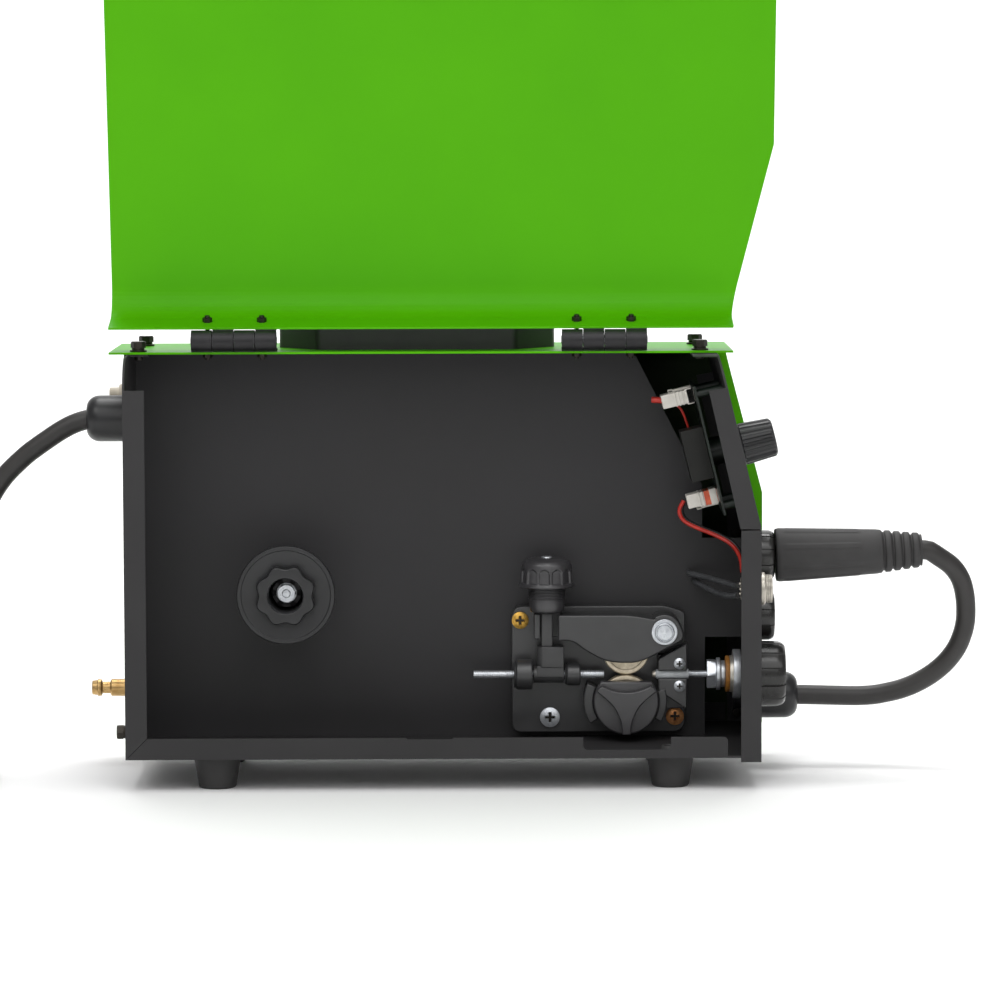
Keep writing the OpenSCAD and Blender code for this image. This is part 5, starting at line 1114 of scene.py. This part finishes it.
BOARD_WIRE = np.array([(171, -14, 196), (168, -14, 189), (171, -14, 182), (180, -15, 177), (195, -17, 171),
                       (205, -22, 165), (210, -30, 157), (211, -38, 148)])
STUB = [(157, -18, 266), (152, -18, 266.6), (147, -17, 266.8)]
SENSE_WIRE = [(163, -17, 264), (167.5, -17, 260), (171.5, -15, 251), (174.5, -13, 240), (178, -11, 230),
              (183, -10, 225)]
red_wires = joined(wire(BOARD_WIRE + (-1.6, -2.6, -0.6), 1.45), wire(STUB, 2.1), wire(SENSE_WIRE, 0.8))
piece("board_wire_red", red_wires, red_pvc, "panel_wires")
piece("board_wire_black", wire(BOARD_WIRE, 1.45), black_pvc, slot="wire_insulation")
UPPER_LEAD = [(174.5, 14, 141.5), (175.5, 4, 141.5), (183, -6, 140.6), (193, -20, 139.2), (202, -36, 138),
              (206, -45, 138)]
LOWER_LEAD = [(178.5, 14, 135.5), (179.5, 4, 135.3), (185.5, -8, 133), (193, -22, 130.4), (200, -36, 130),
              (206, -45, 131)]
piece("remote_leads", joined(wire(UPPER_LEAD, 2.0, 20), wire(LOWER_LEAD, 2.0, 20)), heat_shrink,
      slot="wire_insulation")


# ------------------------------------------------------------------ every node that shows keeps a finish

for node, finish in FINISH.items():
    shown = frame["nodes"][node]
    shown.data.materials.clear()
    shown.data.materials.append(finish)


# ------------------------------------------------------------------ floor, light, view

def pale_floor():
    """A pale matt floor that rolls up behind the object into a pale wall by a quarter circle."""
    bend, a = 1.2, np.linspace(0.1, math.pi / 2, 16)
    y = np.concatenate([[-6.0, bend], bend + bend * np.sin(a), [2 * bend]])
    z = np.concatenate([[0, 0], bend - bend * np.cos(a), [6.0]])
    points = np.stack([np.repeat((-6.0, 6.0), len(y)), np.tile(y, 2), np.tile(z, 2)], 1)
    n = len(y)
    faces = [[k, n + k, n + k + 1, k + 1] for k in range(n - 1)]
    mesh = bpy.data.meshes.new("pale_floor")
    mesh.from_pydata(points.tolist(), [], faces)
    shade_folds(mesh)
    made = bpy.data.objects.new("pale_floor", mesh)
    scene.collection.objects.link(made)
    paint = bpy.data.materials.new("matt_studio_paper")
    paint.use_nodes = True
    bsdf = paint.node_tree.nodes["Principled BSDF"]
    bsdf.inputs["Base Color"].default_value = linear("#ffffff")
    bsdf.inputs["Roughness"].default_value = 0.9
    mesh.materials.append(paint)


pale_floor()


def soft_light(name, place, aim, size, power):
    """A square area light of size metres at place, turned to face aim."""
    data = bpy.data.lights.new(name, "AREA")
    data.shape, data.size, data.energy = "SQUARE", size, power
    made = bpy.data.objects.new(name, data)
    made.location = place
    made.rotation_euler = (Vector(aim) - Vector(place)).to_track_quat("-Z", "Y").to_euler()
    scene.collection.objects.link(made)


soft_light("key", (-1.4, -1.6, 2.2), (0, 0, 0.25), 1.2, 13)
soft_light("fill", (1.7, -1.9, 1.7), (0, 0, 0.25), 1.2, 8)
soft_light("top", (0.0, 0.3, 2.4), (0, 0, 0.2), 1.6, 24)
soft_light("wall", (0.0, 0.9, 2.2), (0, 2.4, 0.8), 1.6, 34)
soft_light("front_top", (0.2, -1.5, 2.5), (0, 0, 0.2), 0.7, 9)
soft_light("apron", (0.0, -1.4, 0.9), (0, -1.0, 0.0), 1.4, 9)

world = bpy.data.worlds.new("studio")
world.use_nodes = True
world.node_tree.nodes["Background"].inputs["Color"].default_value = linear("#ffffff")
world.node_tree.nodes["Background"].inputs["Strength"].default_value = 0.3
scene.world = world
scene.view_settings.view_transform = "Standard"
scene.view_settings.look = "None"
